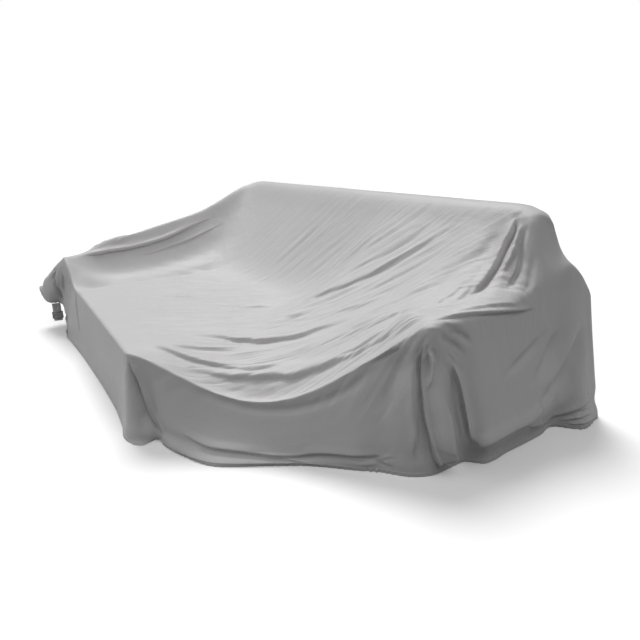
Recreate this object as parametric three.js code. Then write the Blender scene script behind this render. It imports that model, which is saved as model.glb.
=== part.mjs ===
// A dust cover drawn over an L-shaped sofa: one thin sheet with a gathered hem, and the
// buckled strap that hangs from its raised corner. The sofa itself is left out.
// Millimetres. X runs along the sofa to the right, Y to its back and Z up. The tables are
// measured from the floor under the front corner of the right arm; the finished group stands
// with its origin on the floor, in the middle of the cover's own box.
import * as THREE from "three";

const clothThickness = 2;

// The hidden sofa that carries the sheet: a deep chaise on the left, a seat, two arms and a back.
const sofa = {
  seatHeight: 400,
  chaiseFront: -870,
  chaiseRight: -880,
  chaiseLeftAtFront: -2195,
  chaiseLeftAtBack: -2375,
  armHeight: 612,
  armWidth: 230,
  cushionFoot: 190,
  ridgeHeight: 985,
  ridgeFront: 665,
  ridgeBack: 750,
  ridgeLeft: -2700,
  ridgeRight: -70,
  ridgeFall: { length: 170, drop: 32 },
};

// The free edge that hangs between the chaise corner and the right arm corner, and how
// heavily the top lies between what carries it.
const swoop = { sag: 263, power: 1.3 };
const clothWeight = { onChaise: 0.0042, overFloor: 0.0012, blendLength: 300 };
const settling = { planPasses: 5, heightPasses: 600 };

// Mesh steps along the front edge, over the ridge to the rear edge, and down the skirt.
const columnSpans = [
  { to: -2470, steps: 0 },
  { to: sofa.chaiseLeftAtFront, steps: 6 },
  { to: sofa.chaiseRight, steps: 9 },
  { to: -780, steps: 6 },
  { to: -160, steps: 10 },
  { to: 0, steps: 8 },
];
const ridgeRows = { front: 0.84, back: 0.9 };
const rowSpans = [
  { to: 0, steps: 0 },
  { to: 0.09, steps: 3 },
  { to: ridgeRows.front, steps: 13 },
  { to: ridgeRows.back, steps: 2 },
  { to: 1, steps: 4 },
];
const skirtSteps = [0, 0.03, 0.12, 0.28, 0.46, 0.64, 0.78, 0.86, 0.91, 0.96, 1];

// The rim of the top: over the far arm, over the near arm, and behind the back.
const leftEdge = [
  { y: -870, x: -2470, z: 552 },
  { y: -730, x: -2560, z: 566 },
  { y: -600, x: -2600, z: 612 },
  { y: -420, x: -2620, z: 655 },
  { y: -260, x: -2630, z: 703 },
  { y: 40, x: -2650, z: 775 },
  { y: 170, x: -2660, z: 812 },
  { y: 380, x: -2690, z: 903 },
  { y: 520, x: -2710, z: 965 },
  { y: 665, x: -2725, z: 983 },
  { y: 750, x: -2735, z: 960 },
  { y: 940, x: -2775, z: 640 },
];
const rightEdge = [
  { y: 0, x: 0, z: 612 },
  { y: 200, x: 14, z: 618 },
  { y: 450, x: 22, z: 640 },
  { y: 665, x: 22, z: 690 },
  { y: 750, x: 28, z: 748 },
  { y: 840, x: 32, z: 718 },
  { y: 955, x: 34, z: 600 },
];
const rearEdge = [
  { x: -2775, y: 940, z: 640 },
  { x: -2100, y: 900, z: 610 },
  { x: -1400, y: 890, z: 600 },
  { x: -600, y: 905, z: 615 },
  { x: 34, y: 955, z: 600 },
];

// Where the hem lies for each place along the rim of the top. Tuck 0 pools on the floor and
// tuck 1 is drawn in under the cloth that blouses above it. A low spread fans out high up.
const frontHem = [
  { at: -2470, x: -2905, y: -1012, z: 285, tuck: 0.5, spread: 0.8 },
  { at: -2424, x: -2806, y: -1002, z: 206, tuck: 0.3, spread: 0.8 },
  { at: -2378, x: -2745, y: -972, z: 190, tuck: 0.2, spread: 0.8 },
  { at: -2333, x: -2738, y: -908, z: 184, tuck: 0.2, spread: 0.8 },
  { at: -2287, x: -2630, y: -902, z: 138, tuck: 0.1, spread: 0.8 },
  { at: -2241, x: -2490, y: -905, z: 76, tuck: 0, spread: 0.8 },
  { at: -2195, x: -2505, y: -922, z: 12, tuck: 0, spread: 0.9 },
  { at: -2080, x: -2320, y: -914, z: 0, tuck: 0, spread: 1 },
  { at: -1800, x: -1870, y: -893, z: 0, tuck: 0, spread: 1 },
  { at: -1200, x: -1210, y: -884, z: 0, tuck: 0, spread: 1 },
  { at: -880, x: -858, y: -905, z: 0, tuck: 0, spread: 1 },
  { at: -863, x: -815, y: -884, z: 0, tuck: 0, spread: 0.9 },
  { at: -847, x: -798, y: -845, z: 0, tuck: 0, spread: 0.8 },
  { at: -830, x: -826, y: -808, z: 0, tuck: 0, spread: 0.75 },
  { at: -813, x: -808, y: -780, z: 0, tuck: 0, spread: 0.75 },
  { at: -797, x: -780, y: -785, z: 0, tuck: 0, spread: 0.9 },
  { at: -780, x: -745, y: -788, z: 0, tuck: 0, spread: 1 },
  { at: -690, x: -614, y: -738, z: 0, tuck: 0, spread: 1.5 },
  { at: -560, x: -490, y: -668, z: 0, tuck: 0, spread: 1.7 },
  { at: -440, x: -398, y: -525, z: 0, tuck: 0, spread: 1.7 },
  { at: -300, x: -283, y: -345, z: 0, tuck: 0.2, spread: 1.5 },
  { at: -160, x: -128, y: -172, z: 0, tuck: 0.4, spread: 1 },
  { at: -120, x: -92, y: -104, z: 0, tuck: 0.2, spread: 0.8 },
  { at: -80, x: -22, y: -98, z: 0, tuck: 0, spread: 0.7 },
  { at: -60, x: 28, y: -56, z: 0, tuck: 0, spread: 0.6 },
  { at: -40, x: 20, y: -8, z: 0, tuck: 0, spread: 0.6 },
  { at: -20, x: 0, y: 10, z: 0, tuck: 0, spread: 0.6 },
  { at: 0, x: 52, y: 6, z: 0, tuck: 0, spread: 0.6 },
];
const rightHem = [
  { at: 0, x: 52, y: 6, z: 0, tuck: 0, spread: 0.6 },
  { at: 40, x: 56, y: 84, z: 0, tuck: 0, spread: 0.6 },
  { at: 85, x: -30, y: 148, z: 0, tuck: 0.2, spread: 0.7 },
  { at: 140, x: 80, y: 232, z: 0, tuck: 1, spread: 0.8 },
  { at: 330, x: 84, y: 420, z: 0, tuck: 1, spread: 1 },
  { at: 540, x: 76, y: 640, z: 0, tuck: 1, spread: 1 },
  { at: 690, x: 60, y: 760, z: 0, tuck: 0.8, spread: 1 },
  { at: 800, x: 150, y: 850, z: 0, tuck: 0.3, spread: 1.2 },
  { at: 955, x: 118, y: 1025, z: 0, tuck: 0.1, spread: 1 },
];
const rearHem = [
  { at: 34, x: 118, y: 1025, z: 0, tuck: 0.1, spread: 1 },
  { at: -60, x: 40, y: 1058, z: 0, tuck: 0.1, spread: 0.9 },
  { at: -160, x: -130, y: 985, z: 0, tuck: 0.5, spread: 0.9 },
  { at: -330, x: -320, y: 1015, z: 0, tuck: 0.2, spread: 1 },
  { at: -560, x: -565, y: 980, z: 0, tuck: 0.5, spread: 1 },
  { at: -900, x: -900, y: 1005, z: 0, tuck: 0.2, spread: 1 },
  { at: -1250, x: -1250, y: 955, z: 0, tuck: 0.5, spread: 1 },
  { at: -1600, x: -1600, y: 1000, z: 0, tuck: 0.2, spread: 1 },
  { at: -2000, x: -2010, y: 965, z: 0, tuck: 0.4, spread: 1 },
  { at: -2300, x: -2320, y: 1015, z: 0, tuck: 0.2, spread: 1 },
  { at: -2540, x: -2570, y: 975, z: 0, tuck: 0.4, spread: 0.9 },
  { at: -2680, x: -2745, y: 1060, z: 0, tuck: 0.2, spread: 0.8 },
  { at: -2775, x: -2850, y: 1030, z: 0, tuck: 0.3, spread: 0.8 },
];
const leftHem = [
  { at: 940, x: -2850, y: 1030, z: 0, tuck: 0.3, spread: 0.8 },
  { at: 850, x: -2895, y: 905, z: 0, tuck: 0.2, spread: 0.8 },
  { at: 620, x: -2812, y: 660, z: 0, tuck: 0.5, spread: 0.9 },
  { at: 300, x: -2860, y: 300, z: 0, tuck: 0.2, spread: 1 },
  { at: 0, x: -2820, y: -10, z: 0, tuck: 0.4, spread: 1 },
  { at: -350, x: -2860, y: -390, z: 15, tuck: 0.2, spread: 1 },
  { at: -600, x: -2850, y: -690, z: 110, tuck: 0.3, spread: 0.9 },
  { at: -780, x: -2905, y: -890, z: 220, tuck: 0.4, spread: 0.8 },
  { at: -870, x: -2905, y: -1012, z: 285, tuck: 0.5, spread: 0.8 },
];

// How far the skirt stands out from its straight fall, part of the way down.
const hemRolls = {
  pooled: [
    { down: 0, out: 0 },
    { down: 0.22, out: -4 },
    { down: 0.79, out: -6 },
    { down: 0.86, out: -14 },
    { down: 0.91, out: 2 },
    { down: 0.96, out: 10 },
    { down: 1, out: 0 },
  ],
  tucked: [
    { down: 0, out: 0 },
    { down: 0.22, out: 2 },
    { down: 0.68, out: 34 },
    { down: 0.79, out: 42 },
    { down: 0.86, out: 32 },
    { down: 0.91, out: 2 },
    { down: 1, out: 0 },
  ],
};

// Folds of the top, each on a bow from one place through a middle one to another. A negative
// rise is a trough, and every fold fades towards its two ends.
const foldShape = { samples: 20, fadeFrom: 0.12, fadeTo: 0.88 };
const topFolds = [
  { x1: -880, y1: -770, xm: -560, ym: -480, x2: -370, y2: -270, width: 46, rise: -26 },
  { x1: -720, y1: -650, xm: -420, ym: -340, x2: -150, y2: -30, width: 44, rise: -30 },
  { x1: -860, y1: -600, xm: -590, ym: -330, x2: -390, y2: -40, width: 48, rise: -30 },
  { x1: -1150, y1: -640, xm: -720, ym: -290, x2: -540, y2: 0, width: 55, rise: -18 },
  { x1: -800, y1: -710, xm: -500, ym: -415, x2: -250, y2: -150, width: 42, rise: 16 },
  { x1: -900, y1: -670, xm: -600, ym: -405, x2: -380, y2: -150, width: 42, rise: 18 },
  { x1: -700, y1: -180, xm: -530, ym: 110, x2: -430, y2: 540, width: 62, rise: -24 },
  { x1: -580, y1: -90, xm: -430, ym: 170, x2: -330, y2: 520, width: 60, rise: 14 },
  { x1: -900, y1: -60, xm: -720, ym: 200, x2: -600, y2: 560, width: 62, rise: -16 },
  { x1: -180, y1: 610, xm: -140, ym: 480, x2: -100, y2: 290, width: 34, rise: -40 },
  { x1: -110, y1: 610, xm: -62, ym: 540, x2: -36, y2: 400, width: 30, rise: -28 },
  { x1: -36, y1: 60, xm: -28, ym: 230, x2: -14, y2: 480, width: 30, rise: 20 },
  { x1: -150, y1: 120, xm: -80, ym: 260, x2: -60, y2: 420, width: 34, rise: 14 },
  { x1: -2470, y1: -820, xm: -2440, ym: -520, x2: -2440, y2: 160, width: 66, rise: -38 },
];

// The strap sewn on under the hem of the raised corner, and the buckle threaded on it.
const strap = { hemPlace: 2, width: 56, drop: 134, thickness: 2, seamGap: 0.3 };
const buckle = { width: 70, height: 50, depth: 9, corner: 3.5, curveSteps: 4, aboveEnd: 18 };
const slotClearance = 0.3;

const finishes = {
  cover: { color: 0xa9a9aa, roughness: 0.75 },
  corner_strap: { color: 0x8d8d8e, roughness: 0.85 },
  strap_buckle: { color: 0x6a6a6b, roughness: 0.5 },
};

const smooth = (t) => {
  const u = Math.min(1, Math.max(0, t));
  return u * u * (3 - 2 * u);
};
const mix = (a, b, t) => a + (b - a) * t;

// A table read between two of its rows, with an even cubic through them.
function readTable(table, key, value) {
  const last = table.length - 1;
  const turn = Math.sign(table[last][key] - table[0][key]);
  let i = 0;
  while (i < last - 1 && turn * value > turn * table[i + 1][key]) i++;
  const [p, a, b, n] = [Math.max(i - 1, 0), i, i + 1, Math.min(i + 2, last)].map((k) => table[k]);
  const span = b[key] - a[key];
  const t = Math.min(1, Math.max(0, (value - a[key]) / span));
  const cube = t * t * (3 - 2 * t);
  const row = {};
  for (const name of Object.keys(a)) {
    const before = (b[name] - p[name]) / (b[key] - p[key]);
    const after = (n[name] - a[name]) / (n[key] - a[key]);
    row[name] =
      mix(a[name], b[name], cube) +
      span * ((t ** 3 - 2 * t ** 2 + t) * before + (t ** 3 - t ** 2) * after);
  }
  return row;
}

// All the mesh stations that a table of spans gives.
function stations(spans) {
  const places = [spans[0].to];
  for (const { to, steps } of spans) {
    const from = places[places.length - 1];
    for (let k = 1; k <= steps; k++) places.push(mix(from, to, k / steps));
  }
  return places;
}

const frontPlaces = stations(columnSpans);
const acrossShares = frontPlaces.map((x) => 1 - x / leftEdge[0].x);
const backShares = stations(rowSpans);
const lastColumn = acrossShares.length - 1;
const lastRow = backShares.length - 1;

// The front edge of the top at a place along the sofa.
function frontEdge(x) {
  if (x <= sofa.chaiseRight) {
    const span = sofa.chaiseLeftAtFront - leftEdge[0].x;
    const rise = smooth((sofa.chaiseLeftAtFront - x) / span);
    return { y: sofa.chaiseFront, z: mix(sofa.seatHeight, leftEdge[0].z, rise) };
  }
  const t = Math.min(1, 1 - x / sofa.chaiseRight);
  const hang = swoop.sag * Math.sin(Math.PI * t) ** swoop.power;
  return {
    y: mix(sofa.chaiseFront, 0, t),
    z: mix(sofa.seatHeight, sofa.armHeight, t) - hang,
  };
}

// Height of the hidden sofa under a place, or nothing where the floor lies open.
function carrier(x, y) {
  const inward = (y - sofa.chaiseFront) / (sofa.cushionFoot - sofa.chaiseFront);
  const chaiseLeft = mix(sofa.chaiseLeftAtFront, sofa.chaiseLeftAtBack, inward);
  const heights = [0];
  if (x > chaiseLeft && x <= sofa.chaiseRight) heights.push(sofa.seatHeight);
  if (x > sofa.chaiseRight && y > 0) heights.push(sofa.seatHeight);
  if (x > -sofa.armWidth && y > 0) heights.push(sofa.armHeight);
  if (x > sofa.ridgeLeft && x < sofa.ridgeRight && y <= sofa.ridgeBack) {
    const up = (y - sofa.cushionFoot) / (sofa.ridgeFront - sofa.cushionFoot);
    const end = (x - sofa.ridgeRight + sofa.ridgeFall.length) / sofa.ridgeFall.length;
    const ridge = sofa.ridgeHeight - sofa.ridgeFall.drop * smooth(end) ** 2;
    heights.push(mix(sofa.seatHeight, ridge, Math.min(1, up)));
  }
  return Math.max(...heights);
}

// Where a mesh place of the top lies in plan.
function planPlace(across, back) {
  let x = mix(leftEdge[0].x, rightEdge[0].x, across);
  let y = 0;
  const overRidge = (back - ridgeRows.front) / (ridgeRows.back - ridgeRows.front);
  const behind = (back - ridgeRows.back) / (1 - ridgeRows.back);
  for (let pass = 0; pass < settling.planPasses; pass++) {
    const front = frontEdge(x).y;
    const rear = readTable(rearEdge, "x", x).y;
    if (overRidge <= 0) y = mix(front, sofa.ridgeFront, back / ridgeRows.front);
    else if (behind <= 0) y = mix(sofa.ridgeFront, sofa.ridgeBack, overRidge);
    else y = mix(sofa.ridgeBack, rear, behind);
    x = mix(readTable(leftEdge, "y", y).x, readTable(rightEdge, "y", y).x, across);
  }
  return { x, y };
}

// The top as a taut sheet. Its rim is fixed; every other place settles to the mean of its
// neighbours, less its own weight, and never below the sofa.
function tautTop() {
  const net = acrossShares.map((a) => backShares.map((b) => planPlace(a, b)));
  net.forEach((column, i) =>
    column.forEach((p, j) => {
      if (i === 0) p.z = readTable(leftEdge, "y", p.y).z;
      else if (i === lastColumn) p.z = readTable(rightEdge, "y", p.y).z;
      else if (j === 0) p.z = frontEdge(p.x).z;
      else if (j === lastRow) p.z = readTable(rearEdge, "x", p.x).z;
      else p.z = Math.max(carrier(p.x, p.y), sofa.seatHeight);
    }),
  );
  for (let pass = 0; pass < settling.heightPasses; pass++) {
    for (let i = 1; i < lastColumn; i++) {
      for (let j = 1; j < lastRow; j++) {
        const p = net[i][j];
        let hold = 0;
        let lift = 0;
        let reach = 0;
        for (const q of [net[i - 1][j], net[i + 1][j], net[i][j - 1], net[i][j + 1]]) {
          const length = Math.hypot(p.x - q.x, p.y - q.y);
          hold += 1 / length;
          lift += q.z / length;
          reach += length / 4;
        }
        const slack = smooth((sofa.chaiseRight - p.x) / clothWeight.blendLength);
        const weight = mix(clothWeight.overFloor, clothWeight.onChaise, slack);
        p.z = Math.max(carrier(p.x, p.y), (lift - weight * reach) / hold);
      }
    }
  }
  return net;
}

// Height that the folds add at a place of the top.
function foldRise(x, y) {
  let rise = 0;
  for (const f of topFolds) {
    let nearest = Infinity;
    let along = 0;
    for (let k = 0; k <= foldShape.samples; k++) {
      const t = k / foldShape.samples;
      const [a, m, b] = [(1 - t) * (1 - 2 * t), 4 * t * (1 - t), t * (2 * t - 1)];
      const gap = Math.hypot(a * f.x1 + m * f.xm + b * f.x2 - x, a * f.y1 + m * f.ym + b * f.y2 - y);
      if (gap < nearest) {
        nearest = gap;
        along = t;
      }
    }
    const fade = Math.sin(Math.PI * mix(foldShape.fadeFrom, foldShape.fadeTo, along));
    rise += f.rise * fade * Math.exp(-((nearest / f.width) ** 2));
  }
  return rise;
}

const top = tautTop();
top.forEach((column, i) =>
  column.forEach((p, j) => {
    if (i > 0 && i < lastColumn && j > 0 && j < lastRow) p.z += foldRise(p.x, p.y);
  }),
);

// Walks the rim of the top anticlockwise from its front left corner.
function walkRim(visit) {
  for (let i = 0; i < lastColumn; i++) visit(i, 0, frontHem, top[i][0].x);
  for (let j = 0; j < lastRow; j++) visit(lastColumn, j, rightHem, top[lastColumn][j].y);
  for (let i = lastColumn; i > 0; i--) visit(i, lastRow, rearHem, top[i][lastRow].x);
  for (let j = lastRow; j > 0; j--) visit(0, j, leftHem, top[0][j].y);
}

// One fall of the skirt, from the rim of the top to the hem.
function skirtFall(edge, hem, outward) {
  return skirtSteps.slice(1).map((down) => {
    const pooled = readTable(hemRolls.pooled, "down", down).out;
    const tucked = readTable(hemRolls.tucked, "down", down).out;
    const out = mix(pooled, tucked, Math.min(1, Math.max(0, hem.tuck)));
    const away = down ** hem.spread;
    return new THREE.Vector3(
      mix(edge.x, hem.x, away) + outward.x * out,
      mix(edge.y, hem.y, away) + outward.y * out,
      mix(edge.z, Math.max(0, hem.z), down),
    );
  });
}

// The whole sheet, and the line of its hem for what is sewn on there.
function drapeCover() {
  const points = [];
  const faces = [];
  const addPoint = (p) => points.push(new THREE.Vector3(p.x, p.y, p.z)) - 1;
  const quad = (a, b, c, d) => faces.push([a, b, c], [a, c, d]);
  const topIndex = top.map((column) => column.map(addPoint));
  const hems = [];
  const rimIndex = [];
  walkRim((i, j, table, along) => {
    rimIndex.push(topIndex[i][j]);
    hems.push(readTable(table, "at", along));
  });
  const count = hems.length;
  const rings = [rimIndex, ...skirtSteps.slice(1).map(() => [])];
  for (let k = 0; k < count; k++) {
    const [before, after] = [hems[(k + count - 2) % count], hems[(k + 2) % count]];
    const outward = new THREE.Vector3(after.y - before.y, before.x - after.x, 0).normalize();
    skirtFall(points[rimIndex[k]], hems[k], outward).forEach((p, s) => rings[s + 1].push(addPoint(p)));
  }
  for (let i = 0; i < lastColumn; i++)
    for (let j = 0; j < lastRow; j++)
      quad(topIndex[i][j], topIndex[i + 1][j], topIndex[i + 1][j + 1], topIndex[i][j + 1]);
  for (let s = 0; s + 1 < rings.length; s++)
    for (let k = 0; k < count; k++) {
      const n = (k + 1) % count;
      quad(rings[s + 1][k], rings[s + 1][n], rings[s][n], rings[s][k]);
    }
  return shell(points, faces, rings[rings.length - 1]);
}

// A sheet of even thickness below a skin, closed round its free edge.
function shell(points, faces, edge) {
  const normals = points.map(() => new THREE.Vector3());
  for (const face of faces) {
    const [a, b, c] = face.map((v) => points[v]);
    const across = b.clone().sub(a).cross(c.clone().sub(a));
    face.forEach((v) => normals[v].add(across));
  }
  const count = points.length;
  const inner = points.map((p, v) => p.clone().addScaledVector(normals[v].normalize(), -clothThickness));
  const index = faces.flatMap(([a, b, c]) => [a, b, c, a + count, c + count, b + count]);
  edge.forEach((a, k) => {
    const b = edge[(k + 1) % edge.length];
    index.push(a, a + count, b + count, a, b + count, b);
  });
  const geometry = new THREE.BufferGeometry();
  geometry.setAttribute(
    "position",
    new THREE.Float32BufferAttribute([...points, ...inner].flatMap((p) => p.toArray()), 3),
  );
  geometry.setIndex(index);
  geometry.computeVertexNormals();
  const hemLine = edge.map((v) => points[v].clone().lerp(inner[v], 0.5));
  return { geometry, hemLine };
}
const cover = drapeCover();

// Where the strap hangs: the middle of one straight stretch of the hem, and how that slopes.
function strapSeam() {
  const [from, to] = [cover.hemLine[strap.hemPlace], cover.hemLine[strap.hemPlace + 1]];
  const run = Math.hypot(to.x - from.x, to.y - from.y);
  return {
    middle: from.clone().lerp(to, 0.5),
    heading: Math.atan2(to.y - from.y, to.x - from.x),
    slope: (to.z - from.z) / run,
  };
}
const seam = strapSeam();

// A flat tab of webbing: its top edge follows the hem and its lower end is cut level.
function strapGeometry() {
  const half = strap.width / 2;
  const topGap = clothThickness / 2 + strap.seamGap;
  const outline = new THREE.Shape();
  outline.moveTo(-half, -half * seam.slope - topGap);
  outline.lineTo(-half, -strap.drop);
  outline.lineTo(half, -strap.drop);
  outline.lineTo(half, half * seam.slope - topGap);
  outline.closePath();
  const geometry = new THREE.ExtrudeGeometry(outline, { depth: strap.thickness, bevelEnabled: false });
  return geometry.translate(0, 0, -strap.thickness / 2).rotateX(Math.PI / 2);
}

// A rectangle with round corners, drawn anticlockwise.
function roundedRectangle(width, height, corner) {
  const [x, y] = [width / 2 - corner, height / 2 - corner];
  const outline = new THREE.Shape();
  outline.absarc(x, -y, corner, -Math.PI / 2, 0);
  outline.absarc(x, y, corner, 0, Math.PI / 2);
  outline.absarc(-x, y, corner, Math.PI / 2, Math.PI);
  outline.absarc(-x, -y, corner, Math.PI, 1.5 * Math.PI);
  outline.closePath();
  return outline;
}

// The buckle is a flat sleeve, and the webbing runs down through its slot.
function buckleGeometry() {
  const outline = roundedRectangle(buckle.width, buckle.depth, buckle.corner);
  const halfWidth = strap.width / 2 + slotClearance;
  const halfDepth = strap.thickness / 2 + slotClearance;
  const slot = new THREE.Path();
  slot.moveTo(-halfWidth, -halfDepth);
  slot.lineTo(-halfWidth, halfDepth);
  slot.lineTo(halfWidth, halfDepth);
  slot.lineTo(halfWidth, -halfDepth);
  slot.closePath();
  outline.holes.push(slot);
  const options = { depth: buckle.height, bevelEnabled: false, curveSegments: buckle.curveSteps };
  const geometry = new THREE.ExtrudeGeometry(outline, options);
  return geometry.translate(0, 0, buckle.aboveEnd - strap.drop);
}

function namedMesh(name, geometry) {
  const material = new THREE.MeshStandardMaterial({ ...finishes[name], metalness: 0 });
  const mesh = new THREE.Mesh(geometry, material);
  mesh.name = name;
  return mesh;
}

const onFloor = new THREE.Group();
onFloor.add(namedMesh("cover", cover.geometry));

const hanging = new THREE.Group();
hanging.position.copy(seam.middle);
hanging.rotation.z = seam.heading;
hanging.add(namedMesh("corner_strap", strapGeometry()));
hanging.add(namedMesh("strap_buckle", buckleGeometry()));
onFloor.add(hanging);

cover.geometry.computeBoundingBox();
const middle = cover.geometry.boundingBox.getCenter(new THREE.Vector3());
onFloor.position.set(-middle.x, -middle.y, -cover.geometry.boundingBox.min.z);

const group = new THREE.Group();
group.add(onFloor);
export default group;
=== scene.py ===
import math

import bmesh
import bpy
import numpy as np
from mathutils import Matrix, Vector
from mathutils.bvhtree import BVHTree


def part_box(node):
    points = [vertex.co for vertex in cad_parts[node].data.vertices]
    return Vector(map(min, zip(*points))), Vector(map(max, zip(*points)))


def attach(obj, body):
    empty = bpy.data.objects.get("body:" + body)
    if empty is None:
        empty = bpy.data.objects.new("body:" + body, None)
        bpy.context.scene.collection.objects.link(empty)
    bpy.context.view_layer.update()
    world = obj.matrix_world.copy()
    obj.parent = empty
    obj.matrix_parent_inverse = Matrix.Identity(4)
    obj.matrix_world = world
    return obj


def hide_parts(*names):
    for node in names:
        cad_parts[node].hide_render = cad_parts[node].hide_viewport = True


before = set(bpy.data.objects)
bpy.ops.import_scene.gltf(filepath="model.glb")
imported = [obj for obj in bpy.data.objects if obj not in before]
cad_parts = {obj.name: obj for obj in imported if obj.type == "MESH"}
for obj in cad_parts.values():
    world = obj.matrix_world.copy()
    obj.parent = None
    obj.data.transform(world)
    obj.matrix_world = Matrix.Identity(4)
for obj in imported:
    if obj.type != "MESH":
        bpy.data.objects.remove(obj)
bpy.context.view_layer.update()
print("frame loaded")

# Places on the cloth are measured from the floor under the front corner of the right arm,
# in metres: x along the sofa, y to its back, z up.
coverLow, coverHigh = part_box("cover")
cornerInset = (0.1513, 1.0120)
armCorner = np.array([coverHigh.x - cornerInset[0], coverLow.y + cornerInset[1], 0.0])

cloth = {
    "fineSpacing": 0.0152,   # metres between the net's threads where the folds are
    "plainSpacing": 0.0238,  # and elsewhere; threads double beside each strong fold
    "skirtSpacing": 0.0135,
    "strongFold": 8,         # millimetres
    "narrowFold": 14,
    "wideFold": 40,          # wider ones need no finer threads
    "foldedX": (-1.30, 0.30),
    "foldedY": (-0.95, 0.62),
    "seed": 7,
    "roundPasses": 5,
    "give": 0.5,             # how far a pass moves a point to the middle of its neighbours
    "addedGive": 0.35,       # and one that a split added
    "chaiseCorner": (-0.88, -0.87, 0.40),
    "cornerReach": 0.06,
    "crispTo": -0.10,        # how far along the front rim is crisp, before the arm's round corner
    "rimRows": 3,            # rows beside the front rim that keep its crisp edge
    "skirtRows": 10,
    "wall": 0.002,           # the solid's thickness
    "flatCut": (4.70, 3.45),
    "flatArea": 11.6,
    "floorGap": 0.001,
}

# How a fold runs across, from its far side to its near side: places in widths and heights in
# the fold's own height.
foldShapes = {
    "roll": [(-1.5, 0.0), (-1.0, 0.22), (-0.5, 0.55), (-0.2, 0.25), (0.0, -0.6), (0.3, -0.2), (0.9, 0.0)],
    "lip": [(-1.6, 0.0), (-0.9, 0.3), (-0.3, 0.6), (-0.05, 0.35), (0.12, -0.7), (0.5, -0.45), (1.4, 0.0)],
    "ridge": [(-1.2, 0.0), (-0.7, 0.2), (-0.3, 0.75), (0.0, 1.0), (0.3, 0.75), (0.7, 0.2), (1.2, 0.0)],
    "swag": [(-3.0, 0.0), (-2.2, 0.1), (-1.3, 0.36), (-0.6, 0.56), (-0.2, 0.34), (0.15, -0.44), (0.5, -0.36),
             (1.3, -0.1), (2.2, 0.0)],
    "slope": [(-5.4, 0.0), (-4.8, 0.08), (-3.7, 0.32), (-2.7, 0.56), (-2.0, 0.66), (-1.3, 0.52), (-0.6, 0.0),
              (-0.1, -0.72), (0.15, -0.8), (0.6, -0.64), (1.4, -0.34), (2.4, -0.1), (3.2, 0.0)],
    "pleat": [(-1.1, 0.0), (-0.6, 0.12), (-0.2, 0.6), (0.0, 1.0), (0.15, 0.5), (0.3, -0.5), (0.6, -0.35),
              (1.2, 0.0)],
}
foldShapes["trough"] = [(place, -height) for place, height in foldShapes["ridge"]]
foldShapes["gully"] = foldShapes["swag"]  # the same run, rounded less


# rows of values as dictionaries with the named columns
def table(columns, *rows):
    return [dict(zip(columns.split(), row)) for row in rows]


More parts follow.
